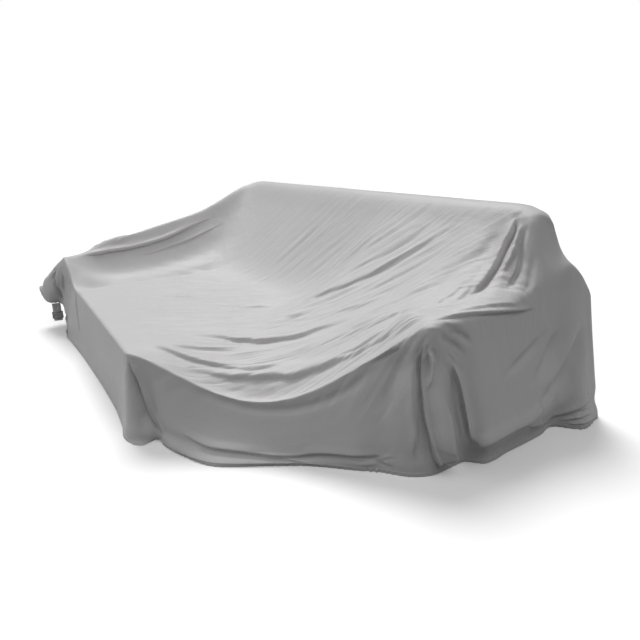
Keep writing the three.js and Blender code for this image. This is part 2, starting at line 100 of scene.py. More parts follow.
# The folds, given one by one. Paths are in centimetres from the arm corner: two numbers lie on the
# top of the cloth, three anywhere on it, and the near side is to the right of the way they run.
# Height, width and lean are in millimetres, fade is the share of the length at each end that
# dies away. Threads double once more beside a crisp fold (1), and twice beside the crispest (2).
handFolds = table(
    "name shape crisp height width fade lean path",
    # swags over the seat
    ("deep swag", "swag", 1, 23, 20, 0.42, 0, [(-104, -64), (-98, -56), (-93, -50), (-85, -41), (-79, -33),
     (-73, -25), (-67, -15), (-63, -6), (-56, 4), (-51, 10)]),
    ("short swag over it", "swag", 0, 7, 15, 0.45, 0, [(-103, -53), (-96, -44), (-92, -38), (-83, -24),
     (-76, -14), (-70, -3)]),
    ("left swag", "swag", 1, 18, 20, 0.4, 0, [(-95, -80), (-91, -75), (-85, -69), (-79, -63), (-74, -57),
     (-69, -51), (-63, -43), (-58, -34), (-53, -24)]),
    ("small left swag", "swag", 0, 8, 15, 0.42, 0, [(-91, -74), (-89, -69), (-86, -62), (-82, -52),
     (-77, -44), (-72, -36)]),
    ("front swag", "swag", 1, 25, 20, 0.36, 0, [(-75, -63), (-68, -56), (-62, -49), (-57, -43), (-51, -36),
     (-46, -32), (-41, -26), (-34, -18), (-26, -11), (-20, -4)]),
    ("swag near the arm", "swag", 1, 12, 14, 0.35, 0, [(-36, -17), (-31, -12), (-28, -7), (-26, -2),
     (-22, 1)]),
    ("second swag near the arm", "swag", 1, 10, 13, 0.35, 0, [(-27, -13), (-23, -8), (-19, -5), (-16, -2),
     (-12, 2)]),
    ("seat swag", "swag", 0, 9, 16, 0.42, 0, [(-96, -24), (-87, -14), (-78, -5), (-73, 3), (-68, 12),
     (-64, 19), (-56, 28)]),
    ("long back swag", "swag", 1, 17, 21, 0.4, 0, [(-98, -4), (-88, 7), (-80, 16.5), (-73, 25), (-67, 32),
     (-61, 40), (-55, 47), (-49, 54)]),
    ("wide seat swag", "swag", 0, 5, 20, 0.42, 0, [(-131, -53), (-120, -39), (-105, -31), (-97, -22),
     (-84, -10), (-74, 6), (-60, 20)]),
    ("line beside the arm", "swag", 0, 6, 15, 0.42, 0, [(-42, 3), (-35, 9), (-29, 12), (-24, 16),
     (-20, 22)]),
    ("upper swag", "swag", 0, 5, 18, 0.42, 0, [(-212, -16), (-201, 1), (-196, 12), (-183, 28)]),
    ("second upper swag", "swag", 0, 5, 18, 0.42, 0, [(-180, -22), (-170, -2), (-165, 10), (-156, 24)]),
    # the slope and the back
    ("first slope fold", "swag", 0, 7, 18, 0.4, 0, [(-94, 41), (-87, 47), (-79, 55), (-73, 60)]),
    ("second slope fold", "swag", 0, 7, 18, 0.4, 0, [(-87, 36), (-81, 42), (-70, 52), (-65, 59)]),
    ("third slope fold", "swag", 0, 8, 20, 0.4, 0, [(-80, 31), (-74, 37), (-63, 51), (-57, 59)]),
    ("fourth slope fold", "swag", 0, 9, 20, 0.35, 0, [(-73, 26), (-67, 31), (-61, 38), (-54, 47),
     (-50, 56)]),
    ("soft back fold", "trough", 0, 9, 46, 0.35, 0, [(-29, 22), (-28, 29), (-27, 39), (-22, 50), (-21, 59),
     (-18, 63)]),
    ("corner valley", "lip", 1, 34, 24, 0.2, 7, [(-13, 34, 62), (-15, 41, 65), (-15, 45, 68), (-15, 52, 74),
     (-16, 57, 81), (-16, 60, 86), (-17, 64, 94)]),
    ("corner ridge", "ridge", 1, 13, 15, 0.3, 0, [(-14, 63, 93), (-12, 59, 87), (-10, 53, 80),
     (-9, 47, 73)]),
    ("short corner valley", "trough", 1, 9, 12, 0.4, 0, [(-9, 57, 82), (-9, 56, 80), (-8, 52, 77),
     (-8, 47, 72)]),
    ("second corner ridge", "ridge", 1, 9, 14, 0.4, 0, [(-8, 56, 78), (-7, 52, 72), (-5, 45, 68)]),
    ("second corner valley", "trough", 1, 22, 19, 0.25, 0, [(-11, 63, 92), (-10, 59, 84), (-8, 57, 77),
     (-7, 54, 72), (-6, 50, 69), (-4, 45, 66)]),
    ("faint corner valley", "trough", 0, 7, 44, 0.4, 0, [(-21, 61, 91), (-22, 55, 84), (-22, 49, 77),
     (-21, 41, 72)]),
    ("third corner valley", "trough", 0, 9, 26, 0.4, 0, [(-5, 63), (-3, 58), (0, 54), (0, 48)]),
    ("arm rest fold", "roll", 0, 8, 20, 0.4, 0, [(-15, 12), (-17, 23), (-17, 32), (-19, 38)]),
    ("second arm rest fold", "roll", 0, 8, 20, 0.4, 0, [(-10, 18), (-12, 26), (-14, 34), (-16, 40)]),
    ("top corner fold", "roll", 0, 14, 18, 0.35, 0, [(-9, 69, 95), (-7, 72, 92), (-6, 76, 88)]),
    # the right arm
    ("arm edge roll", "roll", 1, 22, 20, 0.25, 0, [(-3, 2, 62), (-2, 6, 62), (0, 14, 62), (1, 25, 61),
     (2, 37, 60), (3, 49, 59), (3, 57, 59)]),
    ("arm top wedge", "roll", 0, 11, 16, 0.3, 0, [(-3, 13, 63), (-2, 17, 63), (0, 30, 63), (1, 41, 62),
     (2, 48, 61)]),
    ("short arm pinch", "ridge", 0, 6, 12, 0.4, 0, [(-1, 5, 61), (1, 10, 60), (2, 15, 59)]),
    ("arm shade", "trough", 0, 6, 26, 0.4, 0, [(1, 46, 65), (2, 64, 65), (4, 88, 65)]),
    # the left arm and its flap
    ("left arm gully", "gully", 2, 26, 13, (0.1, 0.4), 9, [(-253, -74, 54), (-256, -67, 53),
     (-255.5, -57, 55), (-255.5, -43, 56), (-256.5, -27, 58), (-257.5, -14, 61), (-258.5, 0, 66),
     (-259, 12, 70), (-258, 26, 75)]),
    ("second left gully", "gully", 2, 11, 11, 0.4, 0, [(-251.5, -42, 50), (-251.5, -31, 51),
     (-252, -18, 54), (-253, -1, 58), (-253.5, 15, 64), (-253, 30, 71)]),
    ("left crest", "ridge", 0, 24, 30, 0.3, 0, [(-260, -72, 55), (-262, -60, 59), (-263, -48, 62),
     (-264, -36, 65)]),
    ("first crest wedge", "trough", 2, 15, 10, 0.35, 0, [(-258.5, -67, 57), (-260, -64, 58),
     (-261, -61, 59), (-262, -59, 60)]),
    ("second crest wedge", "trough", 2, 15, 10, 0.35, 0, [(-261, -52, 60), (-261.5, -48, 61.5),
     (-262, -43, 63.5), (-263, -38, 65)]),
    ("slope down to the chaise", "slope", 0, 25, 50, (0.1, 0.4), 0, [(-224, -84, 39), (-228, -72, 38.5),
     (-232, -53, 37), (-232, -33, 38), (-229, -12, 40), (-226, 6, 43), (-216, 25, 50)]),
    ("foot of the left slope", "trough", 1, 6, 12, (0.1, 0.4), 0, [(-221, -84, 39), (-226, -72, 38.5),
     (-231, -53, 37), (-231.5, -33, 38), (-228, -12, 40), (-224, 6, 43), (-213, 25, 50)]),
    ("flap valley", "trough", 1, 26, 22, 0.2, 0, [(-261, -91, 49), (-261, -92, 45), (-262, -92, 38),
     (-264, -91, 28), (-266, -90, 20)]),
    ("flap ridge", "ridge", 0, 10, 14, 0.3, 0, [(-240, -88, 48), (-244, -88, 40), (-248, -89, 33),
     (-251, -89, 23)]),
    ("flap pleat", "trough", 0, 12, 14, 0.3, 0, [(-246, -88, 49), (-250, -88, 41), (-254, -89, 34),
     (-257, -89, 24)]),
    ("second flap valley", "trough", 0, 12, 16, 0.3, 0, [(-233, -87, 46), (-235, -87, 40), (-238, -88, 32),
     (-240, -88, 24)]),
    ("fold below the chaise corner", "trough", 1, 14, 15, 0.25, 0, [(-217, -87, 39), (-216, -87, 34),
     (-215, -88, 27), (-213, -88, 20), (-208, -89, 12)]),
    # the front
    ("fold under the swoop", "trough", 0, 10, 34, 0.3, 0, [(-74, -74, 27), (-68, -68, 26), (-57, -57, 22),
     (-47, -47, 20), (-34, -34, 23), (-22, -22, 32), (-13, -13, 44), (-6, -6, 54)]),
    ("corner pleat line", "trough", 1, 18, 10, 0.12, 0, [(-87.5, -87, 37), (-86, -86, 30), (-84, -84, 20),
     (-82.5, -82, 11), (-79, -79, 3)]),
    ("second corner line", "ridge", 1, 9, 9, 0.12, 0, [(-86, -85.5, 37), (-84.5, -84.5, 30),
     (-82, -81.5, 20), (-80, -79.5, 11), (-76.5, -76.5, 3)]),
    ("corner column valley", "trough", 0, 38, 38, 0.3, 0, [(-87, -86, 34), (-86, -85, 24), (-84, -84, 13),
     (-82, -83, 3)]),
    ("front hem crease", "lip", 0, 18, 22, 0.2, 0, [(-69, -74, 9), (-63, -71, 7), (-56, -66, 5),
     (-48, -58, 4.5), (-39, -48, 4), (-32, -39, 4), (-24, -29, 6), (-11, -14, 7), (-6, -9, 7)]),
    ("hem slit", "lip", 0, 10, 12, 0.35, 0, [(-42, -50, 4), (-36, -44, 3), (-30, -37, 1.5),
     (-27, -34, 0.5)]),
    # the inner corner
    ("waist below the arm corner", "trough", 0, 22, 120, 0.4, 0, [(-18, -19, 43), (-11, -13, 44),
     (-3, -6, 45), (2, 4, 44), (4, 16, 42)]),
    ("tuck under the rim", "trough", 1, 11, 13, 0.35, 0, [(-15, -16, 43), (-13, -13, 46), (-11, -11, 48),
     (-9, -9, 50), (-7, -8, 52)]),
    ("soft fold left of the corner", "trough", 0, 18, 36, 0.35, 0, [(-6, -8, 53), (-8, -9, 42),
     (-11, -9, 31), (-11, -10, 20)]),
    ("left pleat", "pleat", 1, 26, 44, 0.25, 0, [(1, -5, 6), (0, -5, 11), (-1, -4, 17), (-3, -4, 26),
     (-3, -5, 38), (-3, -5, 48), (-3, -4, 55)]),
    ("pleat line", "pleat", 1, 22, 15, 0.12, 7, [(-1, -2, 53), (-1, -2, 42), (-1, -1, 33), (-1, 0, 26),
     (1, 1, 19), (3, 2, 12), (4, 4, 6), (5, 7, 1)]),
    ("tongue bend", "ridge", 1, 30, 13, 0.35, 0, [(-1, -1, 52), (0, 1, 49), (1, 1, 45), (0, 1, 40),
     (0, -1, 35)]),
    ("tongue", "ridge", 0, 78, 56, (0.8, 0.08), 0, [(0, 4, 46), (0, 4, 33), (1, 5, 24), (3, 6, 15),
     (4, 9, 4)]),
    ("tongue tip", "roll", 1, 5, 18, 0.45, 0, [(2, 2, 13), (3, 5, 11), (4, 9, 10)]),
    ("first deep valley", "trough", 1, 18, 19, 0.3, 0, [(-1, 10, 43), (-2, 13, 34), (0, 13, 28),
     (2, 15, 17), (3, 16, 6)]),
    ("right pleat", "pleat", 1, 24, 26, 0.25, 5, [(0, 11, 46), (1, 14, 38), (3, 17, 28), (6, 18, 19),
     (7, 20, 9)]),
    ("fan valley", "trough", 0, 16, 26, 0.4, 0, [(1, 2, 59), (1, 5, 56), (2, 11, 51), (3, 16, 45)]),
    ("second fan valley", "trough", 0, 12, 22, 0.4, 0, [(0, 7, 58), (1, 14, 55), (3, 20, 50)]),
    # the right side
    ("side lip", "lip", 1, 38, 26, 0.1, 17, [(7, 19, 10), (12, 24, 13), (13, 34, 14), (13, 45, 14),
     (12, 52, 15), (10, 58, 18)]),
    ("rear side lip", "lip", 1, 18, 18, 0.25, 7, [(11, 46, 12), (10, 58, 7), (9, 66, 6), (8, 74, 6),
     (10, 80, 9), (11, 88, 12), (11, 98, 15)]),
    ("upper knot crease", "roll", 1, 13, 12, (0.2, 0.5), 0, [(8, 78, 5), (11, 80, 7.5), (13, 83, 9),
     (15, 88, 9), (13, 95, 8.5)]),
    ("middle knot crease", "roll", 1, 13, 12, (0.2, 0.5), 0, [(8, 78, 2), (10, 79, 4), (14, 83, 5.5),
     (15, 88, 6), (14, 96, 5)]),
    ("lower knot crease", "roll", 1, 11, 11, (0.2, 0.5), 0, [(10, 80, 1.5), (13, 84, 2.5), (15, 90, 2.5),
     (14, 98, 1.5)]),
    ("rear side fold", "trough", 0, 36, 46, 0.4, 0, [(5, 87, 50), (7, 84, 41), (8, 81, 31), (8, 77, 21),
     (8, 73, 12)]),
    ("second rear side fold", "trough", 0, 28, 38, 0.42, 0, [(5, 83, 45), (5, 78, 33), (6, 73, 24),
     (10, 62, 20), (12, 53, 17)]),
    ("middle side fold", "trough", 0, 32, 44, 0.42, 0, [(5, 75, 50), (5, 69, 41), (5, 64, 35), (5, 57, 29),
     (6, 49, 23)]),
    ("front side fold", "trough", 0, 22, 36, 0.42, 0, [(4, 66, 50), (5, 59, 45), (5, 50, 40), (6, 40, 36),
     (6, 32, 33)]),
    ("side ridge", "ridge", 0, 26, 36, 0.42, 0, [(5, 80, 48), (6, 76, 38), (6, 68, 29), (8, 57, 22)]),
)
for fold in handFolds:
    fold["path"] = np.array(fold["path"]) / 100

# short folds that spread from one gathered spot: from it to places between two others, in centimetres
foldFans = table(
    "name from to count height width begin",
    ("front gather", (-12, -15, 5), [(-4, -9, 9), (-3, -9, 1.5)], 5, (6, 9), (10, 14), 0.05),
    ("left of it", (-10, -13, 5), [(-20, -25, 9), (-17, -22, 2)], 4, (5, 8), (10, 14), 0.1),
    ("arm corner", (-3, 0, 60), [(-7, -7, 36), (5, 20, 42)], 7, (4, 8), (14, 22), 0.25),
    ("left flap", (-248, -88, 55), [(-286, -100, 30), (-250, -90, 15)], 6, (6, 11), (16, 26), 0.15),
    ("rear top", (-10, 70, 95), [(-4, 90, 55), (4, 62, 50)], 5, (4, 8), (18, 28), 0.1),
)

# Slighter folds that lie between the ones above, drawn with a seed: each field gives the
# middle of its patch, half its size, how its folds head in degrees, and its ranges.
foldFields = table(
    "name count middle half heading spread length height width",
    ("seat", 30, (-0.90, -0.06), (0.42, 0.42), 52, 3, (0.40, 0.85), (1.2, 3.8), (13, 24)),
    ("front seat", 9, (-0.50, -0.30), (0.28, 0.28), 50, 3, (0.30, 0.60), (0.8, 2.2), (12, 20)),
    ("near the arm", 18, (-0.26, 0.02), (0.16, 0.20), 52, 8, (0.14, 0.34), (2.0, 5.5), (9, 15)),
    ("slope", 26, (-0.75, 0.36), (0.42, 0.22), 50, 4, (0.25, 0.60), (2.0, 5.5), (12, 22)),
    ("upper slope", 16, (-1.45, 0.30), (0.45, 0.25), 56, 6, (0.20, 0.50), (1.2, 3.5), (14, 22)),
    ("chaise to seat", 26, (-1.55, -0.20), (0.45, 0.40), 53, 5, (0.25, 0.60), (1.0, 3.2), (12, 20)),
)

# soft folds that hang on the sides away from the front: from the hem up, a little apart
hanging = {
    "height": (9, 24), "width": (38, 66), "rise": (0.30, 0.60), "slant": 0.05, "apart": (0.13, 0.28),
    "hollow": 0.65,          # the share that dips in instead of standing out
    "foot": 0.01, "fade": (0.06, 0.9), "insetX": 0.06, "insetY": 0.04, "front": -0.75, "clear": 0.08,
}

fullTurn = 6.3  # radians, for where a wave may start
evenSpots = np.linspace(0, 1, 5)


def drawnFold(draw, row, shape, fade, path):
    height, width = draw.uniform(*row["height"]), draw.uniform(*row["width"])
    return dict(shape=shape, crisp=0, height=height, width=width, fade=fade, lean=0, path=path)


def drawFields():
    draw = np.random.default_rng(cloth["seed"])
    for field in foldFields:
        for _ in range(field["count"]):
            middle = np.array(field["middle"]) + draw.uniform(-1, 1, 2) * field["half"]
            angle = math.radians(field["heading"] + draw.uniform(-1, 1) * field["spread"])
            ahead = np.array([math.cos(angle), math.sin(angle)])
            aside = np.array([-ahead[1], ahead[0]])
            length = draw.uniform(*field["length"])
            bend = length * draw.uniform(-0.01, 0.07)
            path = [middle + ahead * length * t - aside * bend * (1 - 4 * t * t) for t in evenSpots - 0.5]
            yield drawnFold(draw, field, "swag", 0.48, path)


def drawFans():
    draw = np.random.default_rng(cloth["seed"] + 1)
    for fan in foldFans:
        start, (first, last) = np.array(fan["from"]) / 100, np.array(fan["to"]) / 100
        for k in range(fan["count"]):
            share = (k + draw.uniform(0.2, 0.8)) / fan["count"]
            end = first + (last - first) * share
            begin = start + (end - start) * fan["begin"] * draw.uniform(0.5, 1.5)
            stop = start + (end - start) * draw.uniform(0.75, 1.0)
            sag = np.array([0, 0, -0.06 * np.linalg.norm(stop - begin) * draw.uniform(0, 1)])
            path = [begin + (stop - begin) * t + sag * 4 * t * (1 - t) for t in evenSpots]
            yield drawnFold(draw, fan, "roll", 0.4, path)


def drawHanging():
    draw = np.random.default_rng(cloth["seed"] + 4)
    left = coverLow.x - armCorner[0] + hanging["insetX"]
    right = coverHigh.x - armCorner[0] - hanging["insetX"]
    rear = coverHigh.y - armCorner[1] - hanging["insetY"]
    corners = np.array([(left, hanging["front"]), (left, rear), (right, rear)])
    for start, end in zip(corners, corners[1:]):
        length = np.linalg.norm(end - start)
        along = (end - start) / length
        at = draw.uniform(*hanging["apart"]) / 2
        while at < length - hanging["clear"]:
            foot, rise = start + along * at, draw.uniform(*hanging["rise"])
            drift = along * draw.uniform(-1, 1) * hanging["slant"]
            path = [(*(foot + drift * t), hanging["foot"] + rise * t) for t in evenSpots]
            shape = "trough" if draw.uniform() < hanging["hollow"] else "ridge"
            yield drawnFold(draw, hanging, shape, hanging["fade"], path)
            at += draw.uniform(*hanging["apart"])


# each row's direction, with length 1
def directions(rows):
    return rows / np.maximum(np.linalg.norm(rows, axis=1), 1e-9)[:, None]


# rows averaged with the ones round them, each by its share of the window
def windowed(rows, window):
    return np.stack([np.convolve(column, window / window.sum(), "valid") for column in rows.T], axis=1)


# a smooth line through the points of a path, in even steps
def smoothLine(path, step=0.004):
    knots = np.array(path, float)
    ends = np.concatenate([[2 * knots[0] - knots[1]], knots, [2 * knots[-1] - knots[-2]]])
    line = []
    for k in range(len(knots) - 1):
        a, b, c, d = ends[k : k + 4]
        t = np.linspace(0, 1, max(2, int(np.linalg.norm(c - b) / step)), endpoint=False)[:, None]
        line.append(0.5 * (2 * b + (c - a) * t + (2 * a - 5 * b + 4 * c - d) * t**2
                           + (3 * b - a - 3 * c + d) * t**3))
    return np.concatenate(line + [knots[-1:]])


# a fold's share of its height along its path, dying away at the ends: one fade, or one for each end
def easeEnds(share, fade):
    first, last = fade if isinstance(fade, tuple) else (fade, fade)
    rise = np.clip(np.minimum(share / first, (1 - share) / last), 0, 1)
    return rise * rise * (3 - 2 * rise)


# a fold's profile, rounded a little, as a table to read heights from
def profileOf(shape):
    places, heights = np.array(foldShapes[shape]).T
    at = np.linspace(places[0] - 0.3, places[-1] + 0.3, 241)
    soft = np.hanning(47 if shape == "swag" else 27)
    return at, np.convolve(np.interp(at, places, heights), soft / soft.sum(), "same")


# a traced line without the small hops from face to face
def evened(line, span=21):
    half = span // 2
    longer = np.concatenate([2 * line[0] - line[half:0:-1], line, 2 * line[-1] - line[-2 : -half - 2 : -1]])
    return windowed(longer, np.hanning(span + 2)[1:-1])


# Where each fold's path lies on the cloth, and which way is its near side.
def traceFolds(points, faces, folds, fewest=12):
    tree = BVHTree.FromPolygons([tuple(p) for p in points], faces.tolist())
    traced = []
    for fold in folds:
        spots, ups = [], []
        for place in smoothLine(fold["path"]):
            if len(place) == 2:
                start = Vector((place[0] + armCorner[0], place[1] + armCorner[1], 3.0))
                spot, up, _, _ = tree.ray_cast(start, Vector((0, 0, -1)))
            else:
                spot, up, _, _ = tree.find_nearest(Vector(place + armCorner))
            if spot is not None:
                spots.append(tuple(spot))
                ups.append(tuple(up))
        if len(spots) < fewest:  # it runs off the cloth
            continue
        spots, ups = evened(np.array(spots)), evened(np.array(ups))
        traced.append((fold, spots, directions(np.cross(np.gradient(spots, axis=0), ups))))
    return traced


# the points within reach of a line, and for each the closest place along it
def pointsBeside(points, spots, reach, batch=4000):
    inside = ((points > spots.min(axis=0) - reach) & (points < spots.max(axis=0) + reach)).all(axis=1)
    chosen = np.flatnonzero(inside)
    closest = np.zeros(len(chosen), int)
    for a in range(0, len(chosen), batch):
        gaps = points[chosen[a : a + batch], None] - spots[None]
        closest[a : a + batch] = (gaps * gaps).sum(axis=2).argmin(axis=1)
    far = np.linalg.norm(points[chosen] - spots[closest], axis=1)
    return chosen[far < reach], closest[far < reach], far[far < reach]


# Splits each four-sided face beside the given folds in four. A face next to those takes
# their middle points in.
def splitBeside(points, polygons, traced, reach, least):
    marked = np.zeros(len(points), bool)
    for fold, spots, _ in traced:
        nearest = least * (1.5 if fold["crisp"] == 2 else 1)
        marked[pointsBeside(points[:, :3], spots, max(reach * fold["width"] / 1000, nearest))[0]] = True
    extra, middles, whole, made = [], {}, [], []
    for face in polygons:
        if len(face) != 4 or not marked[list(face)].any():
            whole.append(face)
            continue
        centre = len(points) + len(extra)
        extra.append(points[list(face)].mean(axis=0))
        sides = []
        for a, b in zip(face, face[1:] + face[:1]):
            key = (min(a, b), max(a, b))
            if key not in middles:
                middles[key] = len(points) + len(extra)
                extra.append((points[a] + points[b]) / 2)
            sides.append(middles[key])
        made += [(face[k], sides[k], centre, sides[k - 1]) for k in range(4)]
    for face in whole:
        corners = []
        for a, b in zip(face, face[1:] + face[:1]):
            corners.append(a)
            if (min(a, b), max(a, b)) in middles:
                corners.append(middles[min(a, b), max(a, b)])
        made.append(tuple(corners))
    return np.concatenate([points, np.array(extra)]), made


# Works the folds into the cloth. Each moves the points beside it along the cloth's normal,
# and a fold that leans also carries its crest over to the near side. The crest's place and
# reach are in widths.
def workFolds(points, normals, traced, crest=(-0.1, 0.35)):
    moved = np.zeros_like(points)
    for fold, spots, near in traced:
        width = fold["width"] / 1000
        at, heights = profileOf(fold["shape"])
        chosen, closest, far = pointsBeside(points, spots, max(-at[0], at[-1]) * width)
        side = ((points[chosen] - spots[closest]) * near[closest]).sum(axis=1)
        across = far * np.sign(side) / width
        ends = easeEnds(closest / (len(spots) - 1), fold["fade"])
        rise = np.interp(across, at, heights, left=0, right=0) * ends * fold["height"] / 1000
        moved[chosen] += normals[chosen] * rise[:, None]
        if fold["lean"]:
            over = np.exp(-(((across - crest[0]) / crest[1]) ** 2)) * ends * fold["lean"] / 1000
            moved[chosen] += near[closest] * over[:, None]
    return points + moved


# a value of every item of a mesh, a row for each
def readAll(items, what, wide=1, kind=float):
    values = np.empty(len(items) * wide, kind)
    items.foreach_get(what, values)
    return values.reshape(-1, wide)


def writePoints(mesh, points):
    mesh.vertices.foreach_set("co", points.reshape(-1))
    mesh.update()


# welded points and triangles of a frame node
def weldedNode(name):
    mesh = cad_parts[name].data
    mesh.calc_loop_triangles()
    points = readAll(mesh.vertices, "co", 3)
    keys = np.round(points * 1e5).astype(np.int64)
    _, first, same = np.unique(keys, axis=0, return_index=True, return_inverse=True)
    return points[first], same.reshape(-1)[readAll(mesh.loop_triangles, "vertices", 3, np.int32)]


# the outer face of the cloth, without the wall along its hem and its underside
def outerTriangles(points, triangles, slack=2e-5):
    corners = points[triangles]
    sides = np.linalg.norm(corners - np.roll(corners, 1, axis=1), axis=2)
    kept = triangles[(np.abs(sides - cloth["wall"]) > slack).all(axis=1)]
    group, before = np.arange(len(points)), None
    while before is None or (group != before).any():  # spreads the lowest number through each joined part
        lowest, before = group[kept].min(axis=1), group.copy()
        for k in range(3):
            np.minimum.at(group, kept[:, k], lowest)
        group = group[group]
    top = kept[np.argmax(points[kept].max(axis=1)[:, 2])][0]
    return kept[group[kept[:, 0]] == group[top]]


# Reads the drape back as rows and columns: rings from the rim of the top down to the hem,
# and the top itself, by walking from triangle to triangle.
def readNet():
    points, triangles = weldedNode("cover")
    triangles = outerTriangles(points, triangles).tolist()
    apex = {}
    for a, b, c in triangles:
        apex[a, b], apex[b, c], apex[c, a] = c, a, b
    following = {a: b for a, b in apex if (b, a) not in apex}
    ring = [next(iter(following))]
    while following[ring[-1]] != ring[0]:
        ring.append(following[ring[-1]])
    rings, used = [ring], set()
    for _ in range(cloth["skirtRows"]):
        after = ring[1:] + ring[:1]
        above = [apex[pair] for pair in zip(ring, after)]
        upper = above[-1:] + above[:-1]
        used.update(frozenset(t) for t in [*zip(ring, after, above), *zip(ring, above, upper)])
        rings.append(upper)
        ring = upper
    touching = np.zeros(len(points), int)
    for t in triangles:
        if frozenset(t) not in used:
            touching[t] += 1
    corners = [k for k, v in enumerate(ring) if touching[v] <= 2]
    start = min(corners, key=lambda k: points[ring[k]][0] + points[ring[k]][1])
    rings = [r[start:] + r[:start] for r in rings[::-1]]
    ring = rings[0]
    corners = sorted((k - start) % len(ring) for k in corners)
    top = [ring[: corners[1] + 1]]
    for j in range(corners[2] - corners[1]):
        top.append([ring[-(j + 1)]] + [apex[pair] for pair in zip(top[-1], top[-1][1:])])
    return points[np.array(top)], points[np.array(rings)]


# A cubic through the rows of a net, read at the given places along its first axis. Where
# crisp is 1 a row keeps its corner, where it is 0 the line runs round it.
def readRows(net, knots, places, crisp=None):
    step = np.diff(knots)
    slope = np.diff(net, axis=0) / step[:, None, None]
    left, right = step[:-1, None, None], step[1:, None, None]
    inner = (slope[:-1] * right + slope[1:] * left) / (left + right)
    arriving = np.concatenate([slope[:1], inner, slope[-1:]])
    leaving = arriving.copy()
    if crisp is not None:
        arriving[1:] += (slope - arriving[1:]) * crisp[1:, :, None]
        leaving[:-1] += (slope - leaving[:-1]) * crisp[:-1, :, None]
    i = np.clip(np.searchsorted(knots, places, side="right") - 1, 0, len(step) - 1)
    h, t = step[i][:, None, None], ((places - knots[i]) / step[i])[:, None, None]
    return ((1 + 2 * t) * (1 - t) ** 2 * net[i] + t * (1 - t) ** 2 * h * leaving[i]
            + t * t * (3 - 2 * t) * net[i + 1] + t * t * (t - 1) * h * arriving[i + 1])


def chordKnots(net):
    return np.concatenate([[0], np.cumsum(np.linalg.norm(np.diff(net, axis=0), axis=2).mean(axis=1))])


# how many fine steps lie between each two rows of a net, more of them among the folds
def stepCounts(net, axis=None, folded=(0, 0)):
    counts = []
    for k, gap in enumerate(np.diff(chordKnots(net))):
        spacing = cloth["skirtSpacing"]
        if axis is not None:
            middle = (net[k, :, axis].mean() + net[k + 1, :, axis].mean()) / 2 - armCorner[axis]
            spacing = cloth["fineSpacing"] if folded[0] < middle < folded[1] else cloth["plainSpacing"]
        counts.append(max(1, round(gap / spacing)))
    return counts


def placesFor(knots, counts):
    steps = [a + (b - a) * np.arange(1, n + 1) / n for a, b, n in zip(knots[:-1], knots[1:], counts)]
    return np.concatenate([knots[:1], *steps])


def refine(net, counts, crisp=None):
    knots = chordKnots(net)
    return readRows(net, knots, placesFor(knots, counts), crisp)


# which column of the net the chaise's sharp inner corner is on
def chaiseCorner(rim):
    return np.linalg.norm(rim - (np.array(cloth["chaiseCorner"]) + armCorner), axis=1).argmin()


# the skirt's rings read all the way round, so that no seam shows where they close
def refineRing(rings, counts, wrap=3):
    columns = rings.transpose(1, 0, 2)
    net = np.concatenate([columns[-wrap:], columns, columns[: wrap + 1]])
    knots = chordKnots(net)
    crisp = np.zeros(net.shape[:2])
    crisp[chaiseCorner(columns[:, 0]) + wrap] = np.linspace(1, 0, net.shape[1])
    fine = readRows(net, knots, placesFor(knots[wrap : len(knots) - wrap], counts), crisp)
    return fine[:-1].transpose(1, 0, 2)


# the rim of the top, anticlockwise from its front left corner
def rimOf(top):
    return np.concatenate([top[0, :-1], top[:-1, -1], top[-1, :0:-1], top[:0:-1, 0]])


# The solid's hem is rolled all the way round. Here it hangs plain but where it is tucked under:
# each row says how much of the roll goes, in a stretch of the cover's outline.
hemRolls = table(
    "place x y plain",
    ("front of the chaise", (-3.0, -0.92), (-1.2, -0.70), 0.9),
    ("left end", (-3.0, -2.55), (-0.70, 1.2), 0.75),
    ("back", (-2.55, -0.10), (0.80, 1.2), 0.75),
    ("corner column", (-0.92, -0.76), (-1.2, -0.74), 0.9),
    ("arm corner", (-0.14, 0.12), (-0.20, 0.16), 0.85),
)
rolledRows = 6  # the rings above the roll
armCornerHem = {"x": (-0.13, 0.10), "y": (-0.20, 0.15), "passes": 5}


# which places of a ring lie in a row's stretch of the outline
def within(ring, row):
    x, y = (ring[:, :2] - armCorner[:2]).T
    return (x > row["x"][0]) & (x <= row["x"][1]) & (y > row["y"][0]) & (y <= row["y"][1])


def plainHem(rings):
    rings = rings.copy()
    last = len(rings) - 1
    plain = np.zeros(rings.shape[1])
    for row in hemRolls:
        plain[within(rings[-1], row)] = row["plain"]
    plain = (np.roll(plain, 1) + plain + np.roll(plain, -1)) / 3
    for k in range(rolledRows + 1, last):
        t = (k - rolledRows) / (last - rolledRows)
        straight = rings[rolledRows] * (1 - t) + rings[last] * t
        rings[k] += (straight - rings[k]) * plain[:, None]
    inside = within(rings[-1], armCornerHem)
    for k in range(2, last + 1):  # the lower the ring, the more its pleats are evened out
        for _ in range(round(armCornerHem["passes"] * (k - 1) / (last - 1))):
            even = (np.roll(rings[k], 1, axis=0) + 2 * rings[k] + np.roll(rings[k], -1, axis=0)) / 4
            rings[k, inside] = even[inside]
    return rings


# four-sided faces between the rows of a grid of point numbers, each row closed on itself
def bands(index):
    around = np.roll(index, -1, axis=1)
    return np.stack([index[:-1], around[:-1], around[1:], index[1:]], -1).reshape(-1, 4)


